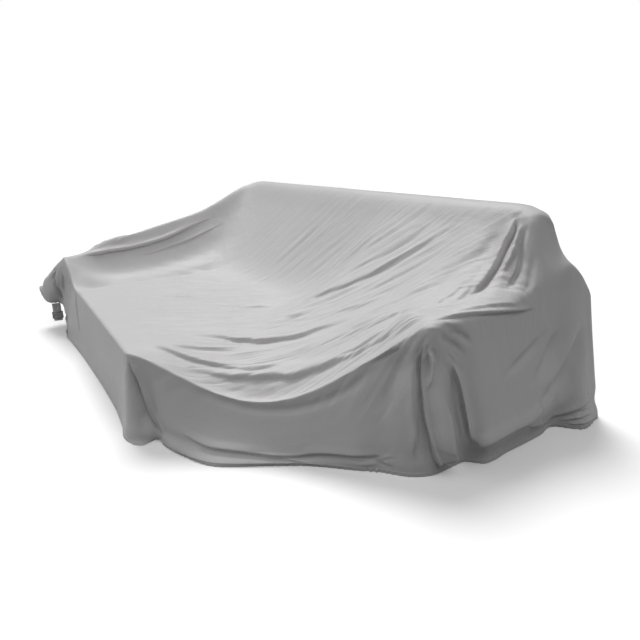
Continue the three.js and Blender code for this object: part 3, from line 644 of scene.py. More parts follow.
# The fine cloth: points, where they lie when it is flat, faces, and the top's and skirt's numbers.
def fineCover():
    top, rings = readNet()
    rowCounts = stepCounts(top, 1, cloth["foldedY"])
    columnCounts = stepCounts(top.transpose(1, 0, 2), 0, cloth["foldedX"])
    columns = refine(top, rowCounts).transpose(1, 0, 2)
    crisp = np.zeros(columns.shape[:2])
    fromRim = np.linalg.norm(columns[0] - columns[0, 0], axis=1)
    crisp[chaiseCorner(columns[:, 0])] = np.exp(-fromRim / cloth["cornerReach"])
    fineTop = refine(columns, columnCounts, crisp).transpose(1, 0, 2)
    ringCounts = columnCounts + rowCounts + columnCounts[::-1] + rowCounts[::-1]
    skirt = refineRing(refine(plainHem(rings), stepCounts(rings)), ringCounts)
    rim = rimOf(fineTop)
    fall = np.linspace(0, 1, len(skirt))
    skirt += (rim - skirt[0]) * ((1 - fall) ** 6)[:, None, None]
    topIndex = np.arange(fineTop.shape[0] * fineTop.shape[1]).reshape(fineTop.shape[:2])
    below = topIndex.size + np.arange((len(skirt) - 1) * len(rim)).reshape(-1, len(rim))
    skirtIndex = np.concatenate([rimOf(topIndex)[None], below])
    square = np.stack([topIndex[:-1, :-1], topIndex[:-1, 1:], topIndex[1:, 1:], topIndex[1:, :-1]], -1)
    faces = np.concatenate([square.reshape(-1, 4), bands(skirtIndex)[:, ::-1]])
    points = np.concatenate([fineTop.reshape(-1, 3), skirt[1:].reshape(-1, 3)])
    return points, np.concatenate(flatLayout(fineTop, skirt)), faces, topIndex, skirtIndex


# Where each point lies when the cover is spread flat: the top by the mean length of its
# threads, the skirt outward from the rim by its fall.
def flatLayout(fineTop, skirt):
    across, deep = chordKnots(fineTop.transpose(1, 0, 2)), chordKnots(fineTop)
    top = np.stack(np.meshgrid(across, deep), -1)
    middle = np.array([across[-1], deep[-1]]) / 2
    sides = [(0.0, -1.0), (1.0, 0.0), (0.0, 1.0), (-1.0, 0.0)]
    outward = np.repeat(sides, [len(across) - 1, len(deep) - 1] * 2, axis=0)
    outward = directions(windowed(np.concatenate([outward[-15:], outward, outward[:15]]), np.hanning(31)))
    fall = np.cumsum(np.linalg.norm(np.diff(skirt, axis=0), axis=2), axis=0)
    below = rimOf(top)[None] + fall[..., None] * outward[None]
    return (top - middle).reshape(-1, 2), (below - middle).reshape(-1, 2)


# evens out each point with its neighbours
def smoothed(points, edges, give, passes):
    count = np.bincount(edges.reshape(-1), minlength=len(points))[:, None]
    for _ in range(passes):
        total = np.zeros_like(points)
        for k in range(3):
            total[:, k] = np.bincount(edges[:, 0], points[edges[:, 1], k], len(points))
            total[:, k] += np.bincount(edges[:, 1], points[edges[:, 0], k], len(points))
        points = points + give[:, None] * (total / count - points)
    return points


def linked(name, data):
    made = bpy.data.objects.new(name, data)
    bpy.context.scene.collection.objects.link(made)
    return made


def meshObject(name, points, faces):
    mesh = bpy.data.meshes.new(name)
    mesh.from_pydata([tuple(p) for p in points], [], [tuple(f) for f in faces])
    mesh.update()
    mesh.shade_smooth()
    return linked(name, mesh)


# How freely each point is evened out: not at the hem, and hardly at the crisp front rim.
def rimGive(points, topIndex, skirtIndex):
    give = np.full(len(points), cloth["give"])
    give[skirtIndex[-1]] = 0
    for k in range(cloth["rimRows"]):
        crispTo = np.searchsorted(points[topIndex[0], 0] - armCorner[0], cloth["crispTo"])
        share = cloth["give"] * (k / cloth["rimRows"]) ** 1.5
        give[topIndex[k, k:crispTo]] = give[skirtIndex[k, :crispTo]] = share
    return give


# the flat layout as the cloth's texture map, in metres
def layFlat(mesh, flat):
    corners = readAll(mesh.loops, "vertex_index", 1, np.int32)[:, 0]
    layer = mesh.uv_layers.new(name="flat")
    layer.data.foreach_set("uv", flat[corners].astype(np.float32).reshape(-1))


# where tension draws fine parallel lines in the cloth, and the waves that they are made of
drawnPatches = table(
    "x y wide deep share",
    (-0.85, -0.15, 0.55, 0.50, 0.9),
    (-0.45, 0.10, 0.45, 0.55, 0.7),
    (-1.50, -0.22, 0.65, 0.36, 1.6),
    (-1.30, 0.40, 0.80, 0.34, 0.8),
)
drawnWaves = {
    "count": 18, "heading": 53, "spread": 4, "length": (0.038, 0.080), "height": 0.0032, "bow": 0.035,
    "bowTurns": (1.5, 3.0), "alongTurns": (2.5, 7), "acrossTurns": (4, 9), "steep": (0.35, 0.8),
    "above": (0.18, 0.10), "leftOf": (0.04, 0.06),  # where they begin, and how soon they come in
}


# how strongly the cloth is drawn into fine lines: over the seat and the slope, not on the sides
def drawnShare(points):
    x, y, z = (points - armCorner).T
    share = np.zeros(len(points))
    for patch in drawnPatches:
        gap = ((x - patch["x"]) / patch["wide"]) ** 2 + ((y - patch["y"]) / patch["deep"]) ** 2
        share = np.maximum(share, patch["share"] * np.exp(-gap))
    (low, rise), (right, run) = drawnWaves["above"], drawnWaves["leftOf"]
    return share * np.clip((z - low) / rise, 0, 1) * np.clip((right - x) / run, 0, 1)


# a slow wave with its own number of turns and start
def wandering(draw, places, turns):
    return np.sin(places * draw.uniform(*turns) + draw.uniform(0, fullTurn))


# The fine lines themselves: waves that head along the tension, each with its own length,
# strength and place, and steeper on their near side.
def drawnLines(flat, share):
    draw = np.random.default_rng(cloth["seed"] + 2)
    (x, y), (steep, lag) = flat.T, drawnWaves["steep"]
    rise = np.zeros(len(flat))
    for _ in range(drawnWaves["count"]):
        angle = math.radians(drawnWaves["heading"] + draw.uniform(-1, 1) * drawnWaves["spread"])
        along = x * math.cos(angle) + y * math.sin(angle)
        across = x * math.sin(angle) - y * math.cos(angle)
        length = draw.uniform(*drawnWaves["length"])
        bow = drawnWaves["bow"] * wandering(draw, along, drawnWaves["bowTurns"])
        turn = 2 * math.pi * (across + bow) / length + draw.uniform(0, fullTurn)
        patch = wandering(draw, along, drawnWaves["alongTurns"])
        patch *= wandering(draw, across, drawnWaves["acrossTurns"])
        rise += np.clip(patch - 0.05, 0, 1) * (np.sin(turn) + steep * np.sin(2 * turn + lag))
    return rise * share * drawnWaves["height"]


def isStrong(fold):
    sharp = fold["height"] >= cloth["strongFold"] or fold["width"] <= cloth["narrowFold"]
    return sharp and fold["width"] <= cloth["wideFold"]


def makeCloth():
    points, flat, faces, topIndex, skirtIndex = fineCover()
    give = rimGive(points, topIndex, skirtIndex)
    base = meshObject("plain_drape", points, faces.tolist())
    edges = readAll(base.data.edges, "vertices", 2, np.int32)
    points = smoothed(points, edges, give, cloth["roundPasses"])
    writePoints(base.data, points)
    normals = readAll(base.data.vertices, "normal", 3)
    outward = smoothed(normals, edges, np.full(len(points), cloth["give"]), 3)
    bpy.data.objects.remove(base)
    traced = traceFolds(points, faces, [*handFolds, *drawFields(), *drawFans(), *drawHanging()])
    strong = [t for t in traced if isStrong(t[0])]
    crisp = [t for t in traced if t[0]["crisp"]]
    crispest = [t for t in crisp if t[0]["crisp"] == 2]
    # what is split, how far to each side of the folds in widths, and how far at least in metres
    splits = [(strong, 0.6, 0.011), (crisp, 0.45, 0.0058), (crispest, 0.5, 0.003)]
    joined, polygons = np.concatenate([points, flat, outward], axis=1), [tuple(f) for f in faces.tolist()]
    for beside, reach, least in splits:
        joined, polygons = splitBeside(joined, polygons, beside, reach, least)
    fine, flat, normals = joined[:, :3], joined[:, 3:5], directions(joined[:, 5:])
    print("cloth", len(polygons), "faces,", sum(len(p) - 2 for p in polygons), "triangles")
    piece = meshObject("cover_cloth", fine, polygons)
    edges = readAll(piece.data.edges, "vertices", 2, np.int32)
    added = np.full(len(fine), cloth["addedGive"])
    added[: len(points)] = 0.7 * give
    writePoints(piece.data, smoothed(fine, edges, added, 3))
    start = readAll(piece.data.vertices, "co", 3)
    share = drawnShare(start)
    points = workFolds(start, normals, traced) + normals * drawnLines(flat, share)[:, None]
    points = smoothed(points, edges, 0.4 * added, 1)
    points[:, 2] = np.maximum(points[:, 2], cloth["floorGap"])
    writePoints(piece.data, points)
    layFlat(piece.data, flat)
    piece.data.attributes.new("drawn", "FLOAT", "POINT").data.foreach_set("value", share)
    print("folds worked in, cut", np.ptp(flat, axis=0).round(2))
    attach(piece, "root")
    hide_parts("cover")
    return piece, skirtIndex


hem = {
    "step": 0.0042,      # metres between the ribs of the band's net
    "turn": 0.016,       # how far the edge is turned up
    "half": 0.0007,      # half the band's thickness
    "pucker": 0.0007,    # how far an ordinary pucker stands out
    "length": (0.014, 0.034),
    "waves": 9,
    "slowTurns": (5, 40),
    "calm": 1.6,         # what the waves add up to where none stands out
    "floorGap": 0.0006,
}
# the band's section: how far up it, how far out in half thicknesses, how much of the pucker shows
hemBand = [
    (1.0, 0.9, 0.25), (0.93, 1.7, 0.4), (0.78, 1.15, 0.5), (0.62, 1.7, 0.8), (0.25, 1.9, 1.1),
    (0.02, 1.5, 1.3), (-0.08, 0.3, 1.3), (0.0, -1.2, 1.2), (0.3, -1.8, 1.0), (0.9, -1.6, 0.4),
    (1.0, -0.8, 0.25),
]
# where the hem is gathered more tightly, and how many times stronger
gathers = table(
    "name place reach times",
    ("front gather", (-0.10, -0.13, 0.02), 0.08, 3.6),
    ("rear right corner", (0.13, 0.95, 0.02), 0.20, 1.3),
    ("under the right side", (0.09, 0.68, 0.01), 0.16, 1.6),
    ("raised left corner", (-2.82, -1.00, 0.25), 0.22, 1.5),
    ("front middle", (-0.34, -0.42, 0.0), 0.10, 1.8),
    ("front left", (-2.45, -0.90, 0.05), 0.20, 2.0),
)


# even steps round a closed line, reading other values along with the places
def evenRound(places, others, step):
    closed = np.concatenate([places, places[:1]])
    at = np.concatenate([[0], np.cumsum(np.linalg.norm(np.diff(closed, axis=0), axis=1))])
    wanted = np.linspace(0, at[-1], int(at[-1] / step), endpoint=False)
    rounds = [np.concatenate([values, values[:1]]) for values in (places, *others)]
    return wanted, at[-1], [np.stack([np.interp(wanted, at, v) for v in r.T], -1) for r in rounds]


# puckers round the hem: waves of uneven length and strength
def puckersAlong(wanted, total, places):
    draw = np.random.default_rng(cloth["seed"] + 3)
    wave = np.zeros(len(wanted))
    for _ in range(hem["waves"]):
        count = round(total / draw.uniform(*hem["length"]))
        slow = draw.integers(*hem["slowTurns"])
        part = np.clip(np.sin(2 * math.pi * slow * wanted / total + draw.uniform(0, fullTurn)), 0, 1)
        wave += part * np.sin(2 * math.pi * count * wanted / total + draw.uniform(0, fullTurn))
    strength = np.ones(len(wanted))
    for gather in gathers:
        gap = np.linalg.norm(places - armCorner - gather["place"], axis=1) / gather["reach"]
        strength += (gather["times"] - 1) * np.exp(-gap * gap)
    return wave * strength * hem["pucker"] / hem["calm"]


def recalcOutward(mesh):
    shape = bmesh.new()
    shape.from_mesh(mesh)
    bmesh.ops.recalc_face_normals(shape, faces=shape.faces)
    shape.to_mesh(mesh)
    shape.free()


# The turned and sewn band round the cover's edge. It wraps the cloth's last rows.
def makeHem(piece, skirtIndex):
    points, normals = (readAll(piece.data.vertices, what, 3) for what in ("co", "normal"))
    edge = points[skirtIndex[-1]]
    upward = points[skirtIndex[-2]] - edge
    wanted, total, (places, up, out) = evenRound(edge, [upward, normals[skirtIndex[-1]]], hem["step"])
    along = directions(np.roll(places, -1, axis=0) - np.roll(places, 1, axis=0))
    up = directions(up - along * (up * along).sum(axis=1)[:, None])
    side = np.cross(along, up)
    side *= np.sign((side * out).sum(axis=1))[:, None]
    pucker = puckersAlong(wanted, total, places)
    rings = []
    for rise, thick, share in hemBand:
        ring = places + up * (rise * hem["turn"] + 0.25 * pucker * (1 - rise))[:, None]
        rings.append(ring + side * (thick * hem["half"] + share * pucker)[:, None])
    rings = np.array(rings)
    rings[..., 2] = np.maximum(rings[..., 2], hem["floorGap"])
    index = np.arange(rings.shape[0] * rings.shape[1]).reshape(rings.shape[:2])
    faces = bands(np.concatenate([index, index[:1]]))
    made = meshObject("cover_hem", rings.reshape(-1, 3), faces.tolist())
    lifts = (np.array(hemBand)[:, 0] * hem["turn"])[:, None]
    layFlat(made.data, np.stack(np.broadcast_arrays(wanted[None], lifts), -1).reshape(-1, 2))
    recalcOutward(made.data)
    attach(made, "root")
    print("hem", round(total, 2), "m round,", len(faces), "faces")
    return made


strap = {
    "ribs": 11, "rows": 66, "rounded": 0.0005, "roundedShare": 0.04, "rib": 0.00022, "thick": 0.002,
    "edge": 0.0003, "ends": (0.0005, 0.0004), "wave": 0.0012, "waveFade": 0.012, "waveTurns": 95,
    "waveStart": 0.6,
}


# The corner strap hangs in its own frame: across its width, out of its face, and up.
def strapFrame():
    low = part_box("corner_strap")[0].z
    points = np.unique(readAll(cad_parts["corner_strap"].data.vertices, "co", 3).round(5), axis=0)
    bottom = points[points[:, 2] < low + 0.001]
    diagonal = (bottom[bottom[:, 1].argmax()] - bottom[bottom[:, 1].argmin()]) * (1, 1, 0)
    heading = math.atan2(diagonal[1], diagonal[0])
    aside = math.asin(strap["thick"] / np.linalg.norm(diagonal))
    for turn in (heading + aside, heading - aside):  # the one that gives the strap's own thickness
        across = np.array([math.cos(turn), math.sin(turn), 0])
        out = np.array([across[1], -across[0], 0])
        if abs(np.ptp(bottom @ out) - strap["thick"]) <= 0.0003:
            break
    tops = points[points[:, 2] > low + 0.05]
    width = math.sqrt(diagonal @ diagonal - strap["thick"] ** 2)
    middle, high = bottom.mean(axis=0) * (1, 1, 0), tops[:, 2].min()
    return {"middle": middle, "across": across, "out": out, "width": width, "low": low, "high": high}


def inFrame(place, hung):
    u, v, z = np.moveaxis(np.asarray(place, float), -1, 0)[..., None]
    return hung["middle"] + u * hung["across"] + v * hung["out"] + z * np.array([0, 0, 1.0])


def makeStrap(hung):
    low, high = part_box("strap_buckle")
    ups = np.linspace(hung["low"] + strap["ends"][0], hung["high"] - strap["ends"][1], strap["rows"])
    lanes = np.linspace(-1, 1, strap["ribs"] * 4 + 1)
    ribbed = strap["rib"] * np.abs(np.sin(math.pi * strap["ribs"] * (lanes + 1) / 2))
    share = strap["roundedShare"]
    rounding = np.clip((np.abs(lanes) - (1 - share)) / share, 0, 1) ** 2
    face = strap["thick"] / 2 - strap["rounded"] * rounding + ribbed - strap["edge"]
    held = np.clip(np.minimum(np.abs(ups - low.z), np.abs(ups - high.z)) / strap["waveFade"], 0, 1)
    held[(ups > low.z - 0.001) & (ups < high.z + 0.001)] = 0  # straight inside the buckle
    sway = strap["wave"] * held * np.sin((ups - hung["low"]) * strap["waveTurns"] + strap["waveStart"])
    across = np.concatenate([lanes, lanes[::-1]]) * (hung["width"] / 2 - strap["edge"])
    out = np.concatenate([face, -face[::-1]])
    rings = []
    for z, shift in zip(ups, sway):
        rings.append(inFrame(np.stack([across, shift + out, np.full(len(out), z)], -1), hung))
    index = np.arange(len(rings) * len(out)).reshape(len(rings), -1)
    faces = bands(index).tolist() + [index[0].tolist(), index[-1].tolist()]
    made = meshObject("strap_webbing", np.concatenate(rings), faces)
    recalcOutward(made.data)
    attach(made, "root")
    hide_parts("corner_strap")
    return made


def shapeObject(name, shape):
    mesh = bpy.data.meshes.new(name)
    shape.to_mesh(mesh)
    shape.free()
    mesh.shade_smooth()
    return linked(name, mesh)


stitch = {
    "length": 0.0042, "gap": 0.0016, "radius": 0.00042, "out": 0.00125, "inset": 0.006, "box": 0.026,
    "tail": 0.005,
}


# rows of stitches: a crossed box at the hem end, and two bars over the turned tail
def makeStitches(hung):
    half = hung["width"] / 2 - stitch["inset"]
    top, tail = hung["high"] - stitch["inset"], hung["low"] + stitch["tail"]
    a, b, c, d = (-half, top), (half, top), (half, top - stitch["box"]), (-half, top - stitch["box"])
    bars = [((-half, z), (half, z)) for z in (tail, tail + stitch["tail"])]
    shape = bmesh.new()
    pitch = stitch["length"] + stitch["gap"]
    longer = Matrix.Diagonal((1, 1, stitch["length"] / stitch["radius"] / 2, 1))
    for start, end in [(a, b), (b, c), (c, d), (d, a), (a, c), (b, d), *bars]:
        start, end = np.array(start), np.array(end)
        length = np.linalg.norm(end - start)
        for k in range(int(length / pitch)):
            first = start + (end - start) * (k * pitch + stitch["gap"] / 2) / length
            last = first + (end - start) * stitch["length"] / length
            ends = [inFrame((p[0], stitch["out"], p[1]), hung) for p in (first, last)]
            turn = Vector(ends[1] - ends[0]).to_track_quat("Z", "Y").to_matrix().to_4x4()
            turn.translation = Vector((ends[0] + ends[1]) / 2)
            bmesh.ops.create_icosphere(shape, subdivisions=1, radius=stitch["radius"], matrix=turn @ longer)
    piece = shapeObject("strap_stitches", shape)
    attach(piece, "root")
    return piece


buckle = {
    "wide": 0.070, "deep": 0.009, "wall": 0.0027, "rail": 0.0088, "pillar": 0.0062, "bevel": 0.0011,
    "grip": 0.0011, "gripDeep": 0.0008, "gripWide": 0.62, "gripCount": 5, "middleBar": 0.7,
    "collar": (0.8, 0.86, 0.55), "collarIn": 2.2,  # shares of a pillar's width, the depth and the height
}


# The buckle's sleeve: rails and pillars round open windows, so that the webbing shows.
def makeBuckle(hung):
    low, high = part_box("strap_buckle")
    centre, tall = (low.z + high.z) / 2, high.z - low.z
    wide, deep, wall, rail, pillar = (buckle[k] for k in ("wide", "deep", "wall", "rail", "pillar"))
    bevel, grip, count = buckle["bevel"], buckle["grip"], buckle["gripCount"]
    bars = []  # middle across, out and up, then size across, out and up
    for face in (-1, 1):
        v = face * (deep - wall) / 2
        for z in (-(tall - rail) / 2, 0, (tall - rail) / 2):
            bars.append(((0, v, z), (wide - pillar, wall, rail if z else buckle["middleBar"] * rail)))
        for k in range(count):
            z = (k / (count - 1) - 0.5) * 0.5 * rail
            for end in (-1, 1):
                place = (0, v + face * wall * 0.42, end * (tall - rail) / 2 + z)
                bars.append((place, (wide * buckle["gripWide"], buckle["gripDeep"], grip)))
    post = (pillar, deep, tall)
    collar = [side * share for side, share in zip(post, buckle["collar"])]
    for end in (-1, 1):
        bars.append(((end * (wide - pillar) / 2, 0, 0), post))
        bars.append(((end * (wide - pillar * buckle["collarIn"]) / 2, 0, 0), collar))
    shape = bmesh.new()
    for middle, size in bars:
        box = Matrix.Diagonal((*size, 1))
        box.translation = Vector(middle)
        bmesh.ops.create_cube(shape, size=1, matrix=box)
    edges = [e for e in shape.edges if e.calc_length() > 3 * bevel]
    bmesh.ops.bevel(shape, geom=edges, offset=bevel * 0.35, segments=2, profile=0.6, affect="EDGES",
                    clamp_overlap=True)
    for v in shape.verts:
        v.co = Vector(inFrame((v.co.x, v.co.y, v.co.z + centre), hung))
    bmesh.ops.recalc_face_normals(shape, faces=shape.faces)
    piece = shapeObject("buckle_sleeve", shape)
    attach(piece, "root")
    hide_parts("strap_buckle")
    return piece


# sets a node's inputs, or links them where the value comes out of another node
def setInputs(node, inputs):
    for label, value in inputs.items():
        value = getattr(value, "socket", value)
        if hasattr(value, "is_output"):
            node.id_data.links.new(value, node.inputs[label])
        else:
            node.inputs[label].default_value = value


def addNode(tree, kind, inputs=(), **settings):
    node = tree.nodes.new("ShaderNode" + kind)
    for label, value in settings.items():
        setattr(node, label, value)
    setInputs(node, dict(inputs))
    return node


# an output that can be added, multiplied and so on, each time through a Math node
class Wire:
    def __init__(self, socket):
        self.socket = socket

    def through(self, operation, other=0.0, clamp=False):
        node = addNode(self.socket.id_data, "Math", {0: self, 1: other}, operation=operation, use_clamp=clamp)
        return Wire(node.outputs[0])

    def __add__(self, other):
        return self.through("ADD", other)

    def __sub__(self, other):
        return self.through("SUBTRACT", other)

    def __mul__(self, other):
        return self.through("MULTIPLY", other)


# a node group with named outputs, and inputs with the values that they start with: None is a place
def nodeGroup(name, inputs, outputs):
    group = bpy.data.node_groups.new(name, "ShaderNodeTree")
    for label, value in inputs.items():
        kind = "NodeSocketVector" if value is None else "NodeSocketFloat"
        socket = group.interface.new_socket(label, in_out="INPUT", socket_type=kind)
        if value is not None:
            socket.default_value = value
    for label in outputs:
        group.interface.new_socket(label, in_out="OUTPUT", socket_type="NodeSocketFloat")
    return group, group.nodes.new("NodeGroupInput").outputs, group.nodes.new("NodeGroupOutput")


def noiseNode(tree, place, scale, detail):
    return Wire(addNode(tree, "TexNoise", {"Vector": place, "Scale": scale, "Detail": detail}).outputs["Fac"])


def stretched(tree, place, scale, turn=0.0):  # turns first, then scales
    inputs = {"Vector": place, "Rotation": (0, 0, math.radians(turn)), "Scale": [1 / s for s in scale]}
    return addNode(tree, "Mapping", inputs, vector_type="TEXTURE").outputs["Vector"]


# plain weave: warp and weft threads that pass over each other by turns
def weaveGroup():
    inputs = {"Flat": None, "Threads": 900.0, "Slub": 0.3}
    group, start, end = nodeGroup("woven threads", inputs, ["Height", "Shade"])
    flat, threads = start["Flat"], start["Threads"]
    parts = addNode(group, "SeparateXYZ", {0: flat}).outputs
    warp, weft = ((Wire(parts[k]) * threads * math.pi).through("SINE") for k in "XY")
    crest = warp.through("ABSOLUTE").through("MAXIMUM", weft.through("ABSOLUTE"))
    runs = (6, 420, 1), (420, 6, 1)
    long, tall = (noiseNode(group, stretched(group, flat, run), 1.0, 2) for run in runs)
    slub = (long + tall - 1.0) * start["Slub"]
    setInputs(end, {"Height": crest * (warp * weft * 0.5 + 0.5) + slub, "Shade": slub + 1.0})
    return group


# the noise that the drawn lines are made of: how far it is stretched, and its heading in degrees
lineNoise = table(
    "stretch heading detail share",
    ((2.0, 60, 1), 52, 3, 0.45),
    ((1.2, 26, 1), 53, 2, 0.8),
)
# the fine lines also change the colour, as painted shade: darker in their hollows and lighter on their crests
crumple = {"scale": 9.0, "height": 0.5, "lineLevel": 0.62, "paintedLineShade": 0.12, "bowScale": 1.3, "bow": 0.10}


# fine lines that tension draws along the cloth, and the slight crumple of a packed cover; the lines' Shade
# output paints their shade into the colour, darker in their hollows and lighter on their crests
def drawnGroup():
    inputs = {"Flat": None, "Drawn": 1.0}
    group, start, end = nodeGroup("drawn lines and crumple", inputs, ["Height", "Shade"])
    flat = start["Flat"]
    bow = {0: noiseNode(group, flat, crumple["bowScale"], 1), 1: (crumple["bow"], crumple["bow"], 0), 2: flat}
    bent = addNode(group, "VectorMath", bow, operation="MULTIPLY_ADD").outputs[0]
    parts = []
    for noise in lineNoise:
        place = stretched(group, bent, noise["stretch"], noise["heading"])
        parts.append(noiseNode(group, place, 1.0, noise["detail"]) * noise["share"])
    lines = (parts[0] + parts[1] - crumple["lineLevel"]) * start["Drawn"]
    uneven = (noiseNode(group, flat, crumple["scale"], 3) - 0.5) * crumple["height"]
    setInputs(end, {"Height": lines + uneven, "Shade": lines * crumple["paintedLineShade"] + 1.0})
    return group


wear = {"contrast": 3.0, "level": 1.2, "grain": 1900.0}


# soiling in soft patches, and the fine grain of a moulded or handled surface
def wearGroup():
    group, start, end = nodeGroup("soil and grain", {"Place": None, "Size": 60.0}, ["Soil", "Grain"])
    patches = noiseNode(group, start["Place"], start["Size"], 4) * wear["contrast"]
    soil = patches.through("SUBTRACT", wear["level"], clamp=True)
    setInputs(end, {"Soil": soil, "Grain": noiseNode(group, start["Place"], wear["grain"], 2)})
    return group


# threads are counted in a metre; depths, and the seam's place up the hem, are in metres
finish = {
    "cover": {"colour": (0.63, 0.62, 0.625), "roughness": 0.50, "sheen": 0.15, "threads": 700.0,
              "weaveDepth": 0.0003, "drawnDepth": 0.012, "mottle": 0.06},
    "hem": {"colour": (0.615, 0.605, 0.61), "roughness": 0.6, "sheen": 0.18, "threads": 700.0,
            "weaveDepth": 0.0003, "drawnDepth": 0.003, "mottle": 0.08, "seam": 0.0105},
    "webbing": {"colour": (0.80, 0.795, 0.80), "roughness": 0.78, "threads": 420.0, "depth": 0.0005,
                "soil": 0.2},
    "thread": {"colour": (0.74, 0.735, 0.74), "roughness": 0.6, "threads": 1500.0, "depth": 0.0002,
               "soil": 0.1},
    "buckle": {"colour": (0.52, 0.518, 0.525), "roughness": 0.45, "depth": 0.0003, "patches": 90.0,
               "worn": 0.3},
}
seam = {"half": 0.0007, "depth": 0.0007, "turns": 1400.0}  # half its width; turns are radians a metre
shared = {"weave": weaveGroup(), "drawn": drawnGroup(), "wear": wearGroup()}


def principled(name):
    material = bpy.data.materials.new(name)
    material.use_nodes = True
    return material, material.node_tree, material.node_tree.nodes["Principled BSDF"]


# the outputs of a shared group, placed in a material with its own values
def addGroup(tree, name, **inputs):
    return addNode(tree, "Group", inputs, node_tree=shared[name]).outputs


def bumped(tree, height, distance, under=None, strength=1.0):
    inputs = {"Height": height, "Distance": distance, "Strength": strength}
    if under is not None:
        inputs["Normal"] = under
    return addNode(tree, "Bump", inputs).outputs["Normal"]


def tinted(tree, colour, shade):
    return addNode(tree, "VectorMath", {0: colour, "Scale": shade}, operation="SCALE").outputs[0]


# the cover's satin weave, drawn into fine lines where the cloth is tense, with the lines' shade also painted
# into the colour; the hem has a seam too
def coverFinish(name):
    values = finish[name]
    material, tree, shader = principled("light grey " + name + " cloth")
    flat = addNode(tree, "UVMap", uv_map="flat").outputs["UV"]
    drawn = addNode(tree, "Attribute", attribute_name="drawn").outputs["Fac"]
    weave = addGroup(tree, "weave", Flat=flat, Threads=values["threads"])
    lines = addGroup(tree, "drawn", Flat=flat, Drawn=drawn)
    normal = bumped(tree, lines["Height"], values["drawnDepth"])
    if "seam" in values:
        place = addNode(tree, "SeparateXYZ", {0: flat}).outputs
        near = (Wire(place["Y"]) - values["seam"]).through("ABSOLUTE").through("LESS_THAN", seam["half"])
        thread = (Wire(place["X"]) * seam["turns"]).through("SINE") + 0.4
        normal = bumped(tree, near * thread, seam["depth"], normal)
    mottle = noiseNode(tree, flat, 1.7, 4)
    # the colour takes random mottle and the fine lines' painted shade, darker in their hollows and lighter on
    # their crests
    shade = ((mottle - 0.5) * values["mottle"] + 1.0) * lines["Shade"]
    setInputs(shader, {
        "Sheen Weight": values["sheen"], "Sheen Roughness": 0.5, "Specular IOR Level": 0.4,
        "Normal": bumped(tree, weave["Height"], values["weaveDepth"], normal, 0.6),
        "Base Color": tinted(tree, values["colour"], shade),
        "Roughness": mottle * 0.12 + (values["roughness"] - 0.06),
    })
    return material


def webbingFinish(name):
    values = finish[name]
    material, tree, shader = principled("grey " + name)
    place = addNode(tree, "TexCoord").outputs["Object"]
    lay = addNode(tree, "SeparateXYZ", {0: stretched(tree, place, (1, 1, 1), -82)}).outputs
    laid = addNode(tree, "CombineXYZ", {"X": lay["Y"], "Y": lay["Z"]}).outputs[0]
    weave = addGroup(tree, "weave", Flat=laid, Threads=values["threads"], Slub=0.6)
    soil = Wire(addGroup(tree, "wear", Place=place, Size=60.0)["Soil"])
    shade = Wire(weave["Shade"]) - soil * values["soil"]
    setInputs(shader, {
        "Normal": bumped(tree, weave["Height"], values["depth"]),
        "Base Color": tinted(tree, values["colour"], shade),
        "Roughness": soil * 0.1 + values["roughness"],
    })
    return material


def buckleFinish(name):
    values = finish[name]
    material, tree, shader = principled("mid grey moulded plastic")
    worn = addGroup(tree, "wear", Place=addNode(tree, "TexCoord").outputs["Object"], Size=values["patches"])
    soil = Wire(worn["Soil"])
    setInputs(shader, {
        "Normal": bumped(tree, worn["Grain"], values["depth"]),
        "Base Color": tinted(tree, values["colour"], soil * values["worn"] + 0.9),
        "Roughness": soil * 0.2 + values["roughness"],
    })
    return material


camera = {
    "place": (1.22734, -1.27341, 1.184),  # from the arm corner
    "turn": 56.983,
    "down": 17.801,
    "lens": 28.7732,
    "sensor": 36.0,
}
lamps = table(
    "name strength width from",
    ("high soft lamp", 2.0, 24.0, (-0.46, 0.12, 0.88)),
    ("left front lamp", 0.5, 36.0, (-0.40, -0.80, 0.44)),
    ("right fill lamp", 0.58, 44.0, (0.48, -0.05, 0.87)),
)
room = {"sky": 0.17, "floorSize": 14.0, "floorShade": 0.16, "floorGlow": 0.12}


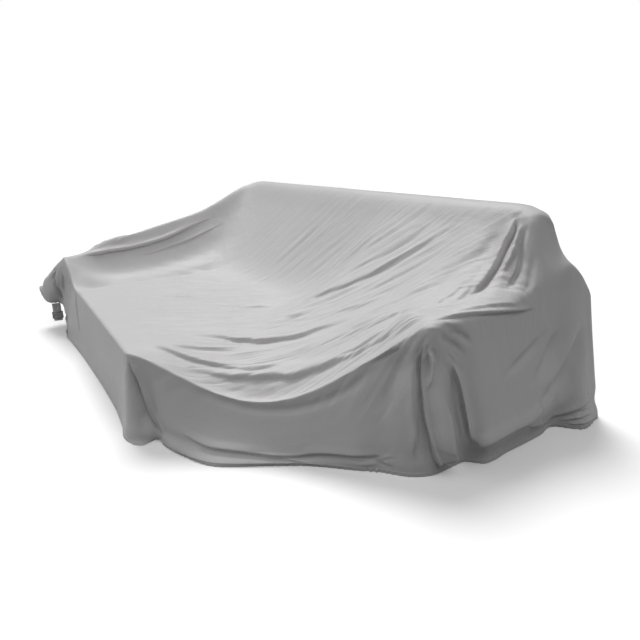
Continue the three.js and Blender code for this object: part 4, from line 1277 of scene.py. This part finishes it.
def makeCamera():
    data = bpy.data.cameras.new("camera")
    data.lens = camera["lens"]
    data.sensor_width = camera["sensor"]
    made = linked("camera", data)
    made.location = armCorner + np.array(camera["place"])
    made.rotation_euler = (math.radians(90 - camera["down"]), 0, math.radians(camera["turn"]))
    bpy.context.scene.camera = made


# the floor looks pale to the camera, and keeps a plain grey for the light that it gives back
def makeFloor():
    corners = np.array([(-1, -1, 0), (1, -1, 0), (1, 1, 0), (-1, 1, 0)]) * room["floorSize"]
    floor = meshObject("floor", corners, [(0, 1, 2, 3)])
    material, tree, shader = principled("pale floor")
    path = addNode(tree, "LightPath").outputs
    seen = Wire(path["Is Camera Ray"]).through("MAXIMUM", path["Is Glossy Ray"])
    shades = {"A": (*[room["floorShade"]] * 3, 1), "B": (1, 1, 1, 1), "Factor": seen}
    setInputs(shader, {
        "Base Color": addNode(tree, "Mix", shades, data_type="RGBA").outputs["Result"],
        "Roughness": 0.9, "Specular IOR Level": 0.1,
        "Emission Color": (1, 1, 1, 1), "Emission Strength": seen * room["floorGlow"],
    })
    floor.data.materials.append(material)


def makeLight():
    for lamp in lamps:
        sun = bpy.data.lights.new(lamp["name"], "SUN")
        sun.energy = lamp["strength"]
        sun.angle = math.radians(lamp["width"])
        linked(lamp["name"], sun).rotation_euler = Vector(lamp["from"]).to_track_quat("Z", "Y").to_euler()
    world = bpy.data.worlds.new("soft room")
    bpy.context.scene.world = world
    world.use_nodes = True
    tree = world.node_tree
    seen = addNode(tree, "LightPath").outputs["Is Camera Ray"]
    level = addNode(tree, "MapRange", {"Value": seen, "To Min": room["sky"], "To Max": 1.0}).outputs["Result"]
    setInputs(tree.nodes["Background"], {"Strength": level, "Color": (1, 1, 1, 1)})
    bpy.context.scene.view_settings.view_transform = "Standard"


makeCamera()
makeFloor()
makeLight()
coverCloth, skirtIndex = makeCloth()
coverHem = makeHem(coverCloth, skirtIndex)
hung = strapFrame()
webbing, stitches, sleeve = makeStrap(hung), makeStitches(hung), makeBuckle(hung)
coverCloth.data.materials.append(coverFinish("cover"))
coverHem.data.materials.append(coverFinish("hem"))
webbing.data.materials.append(webbingFinish("webbing"))
stitches.data.materials.append(webbingFinish("thread"))
sleeve.data.materials.append(buckleFinish("buckle"))
print("pieces made")
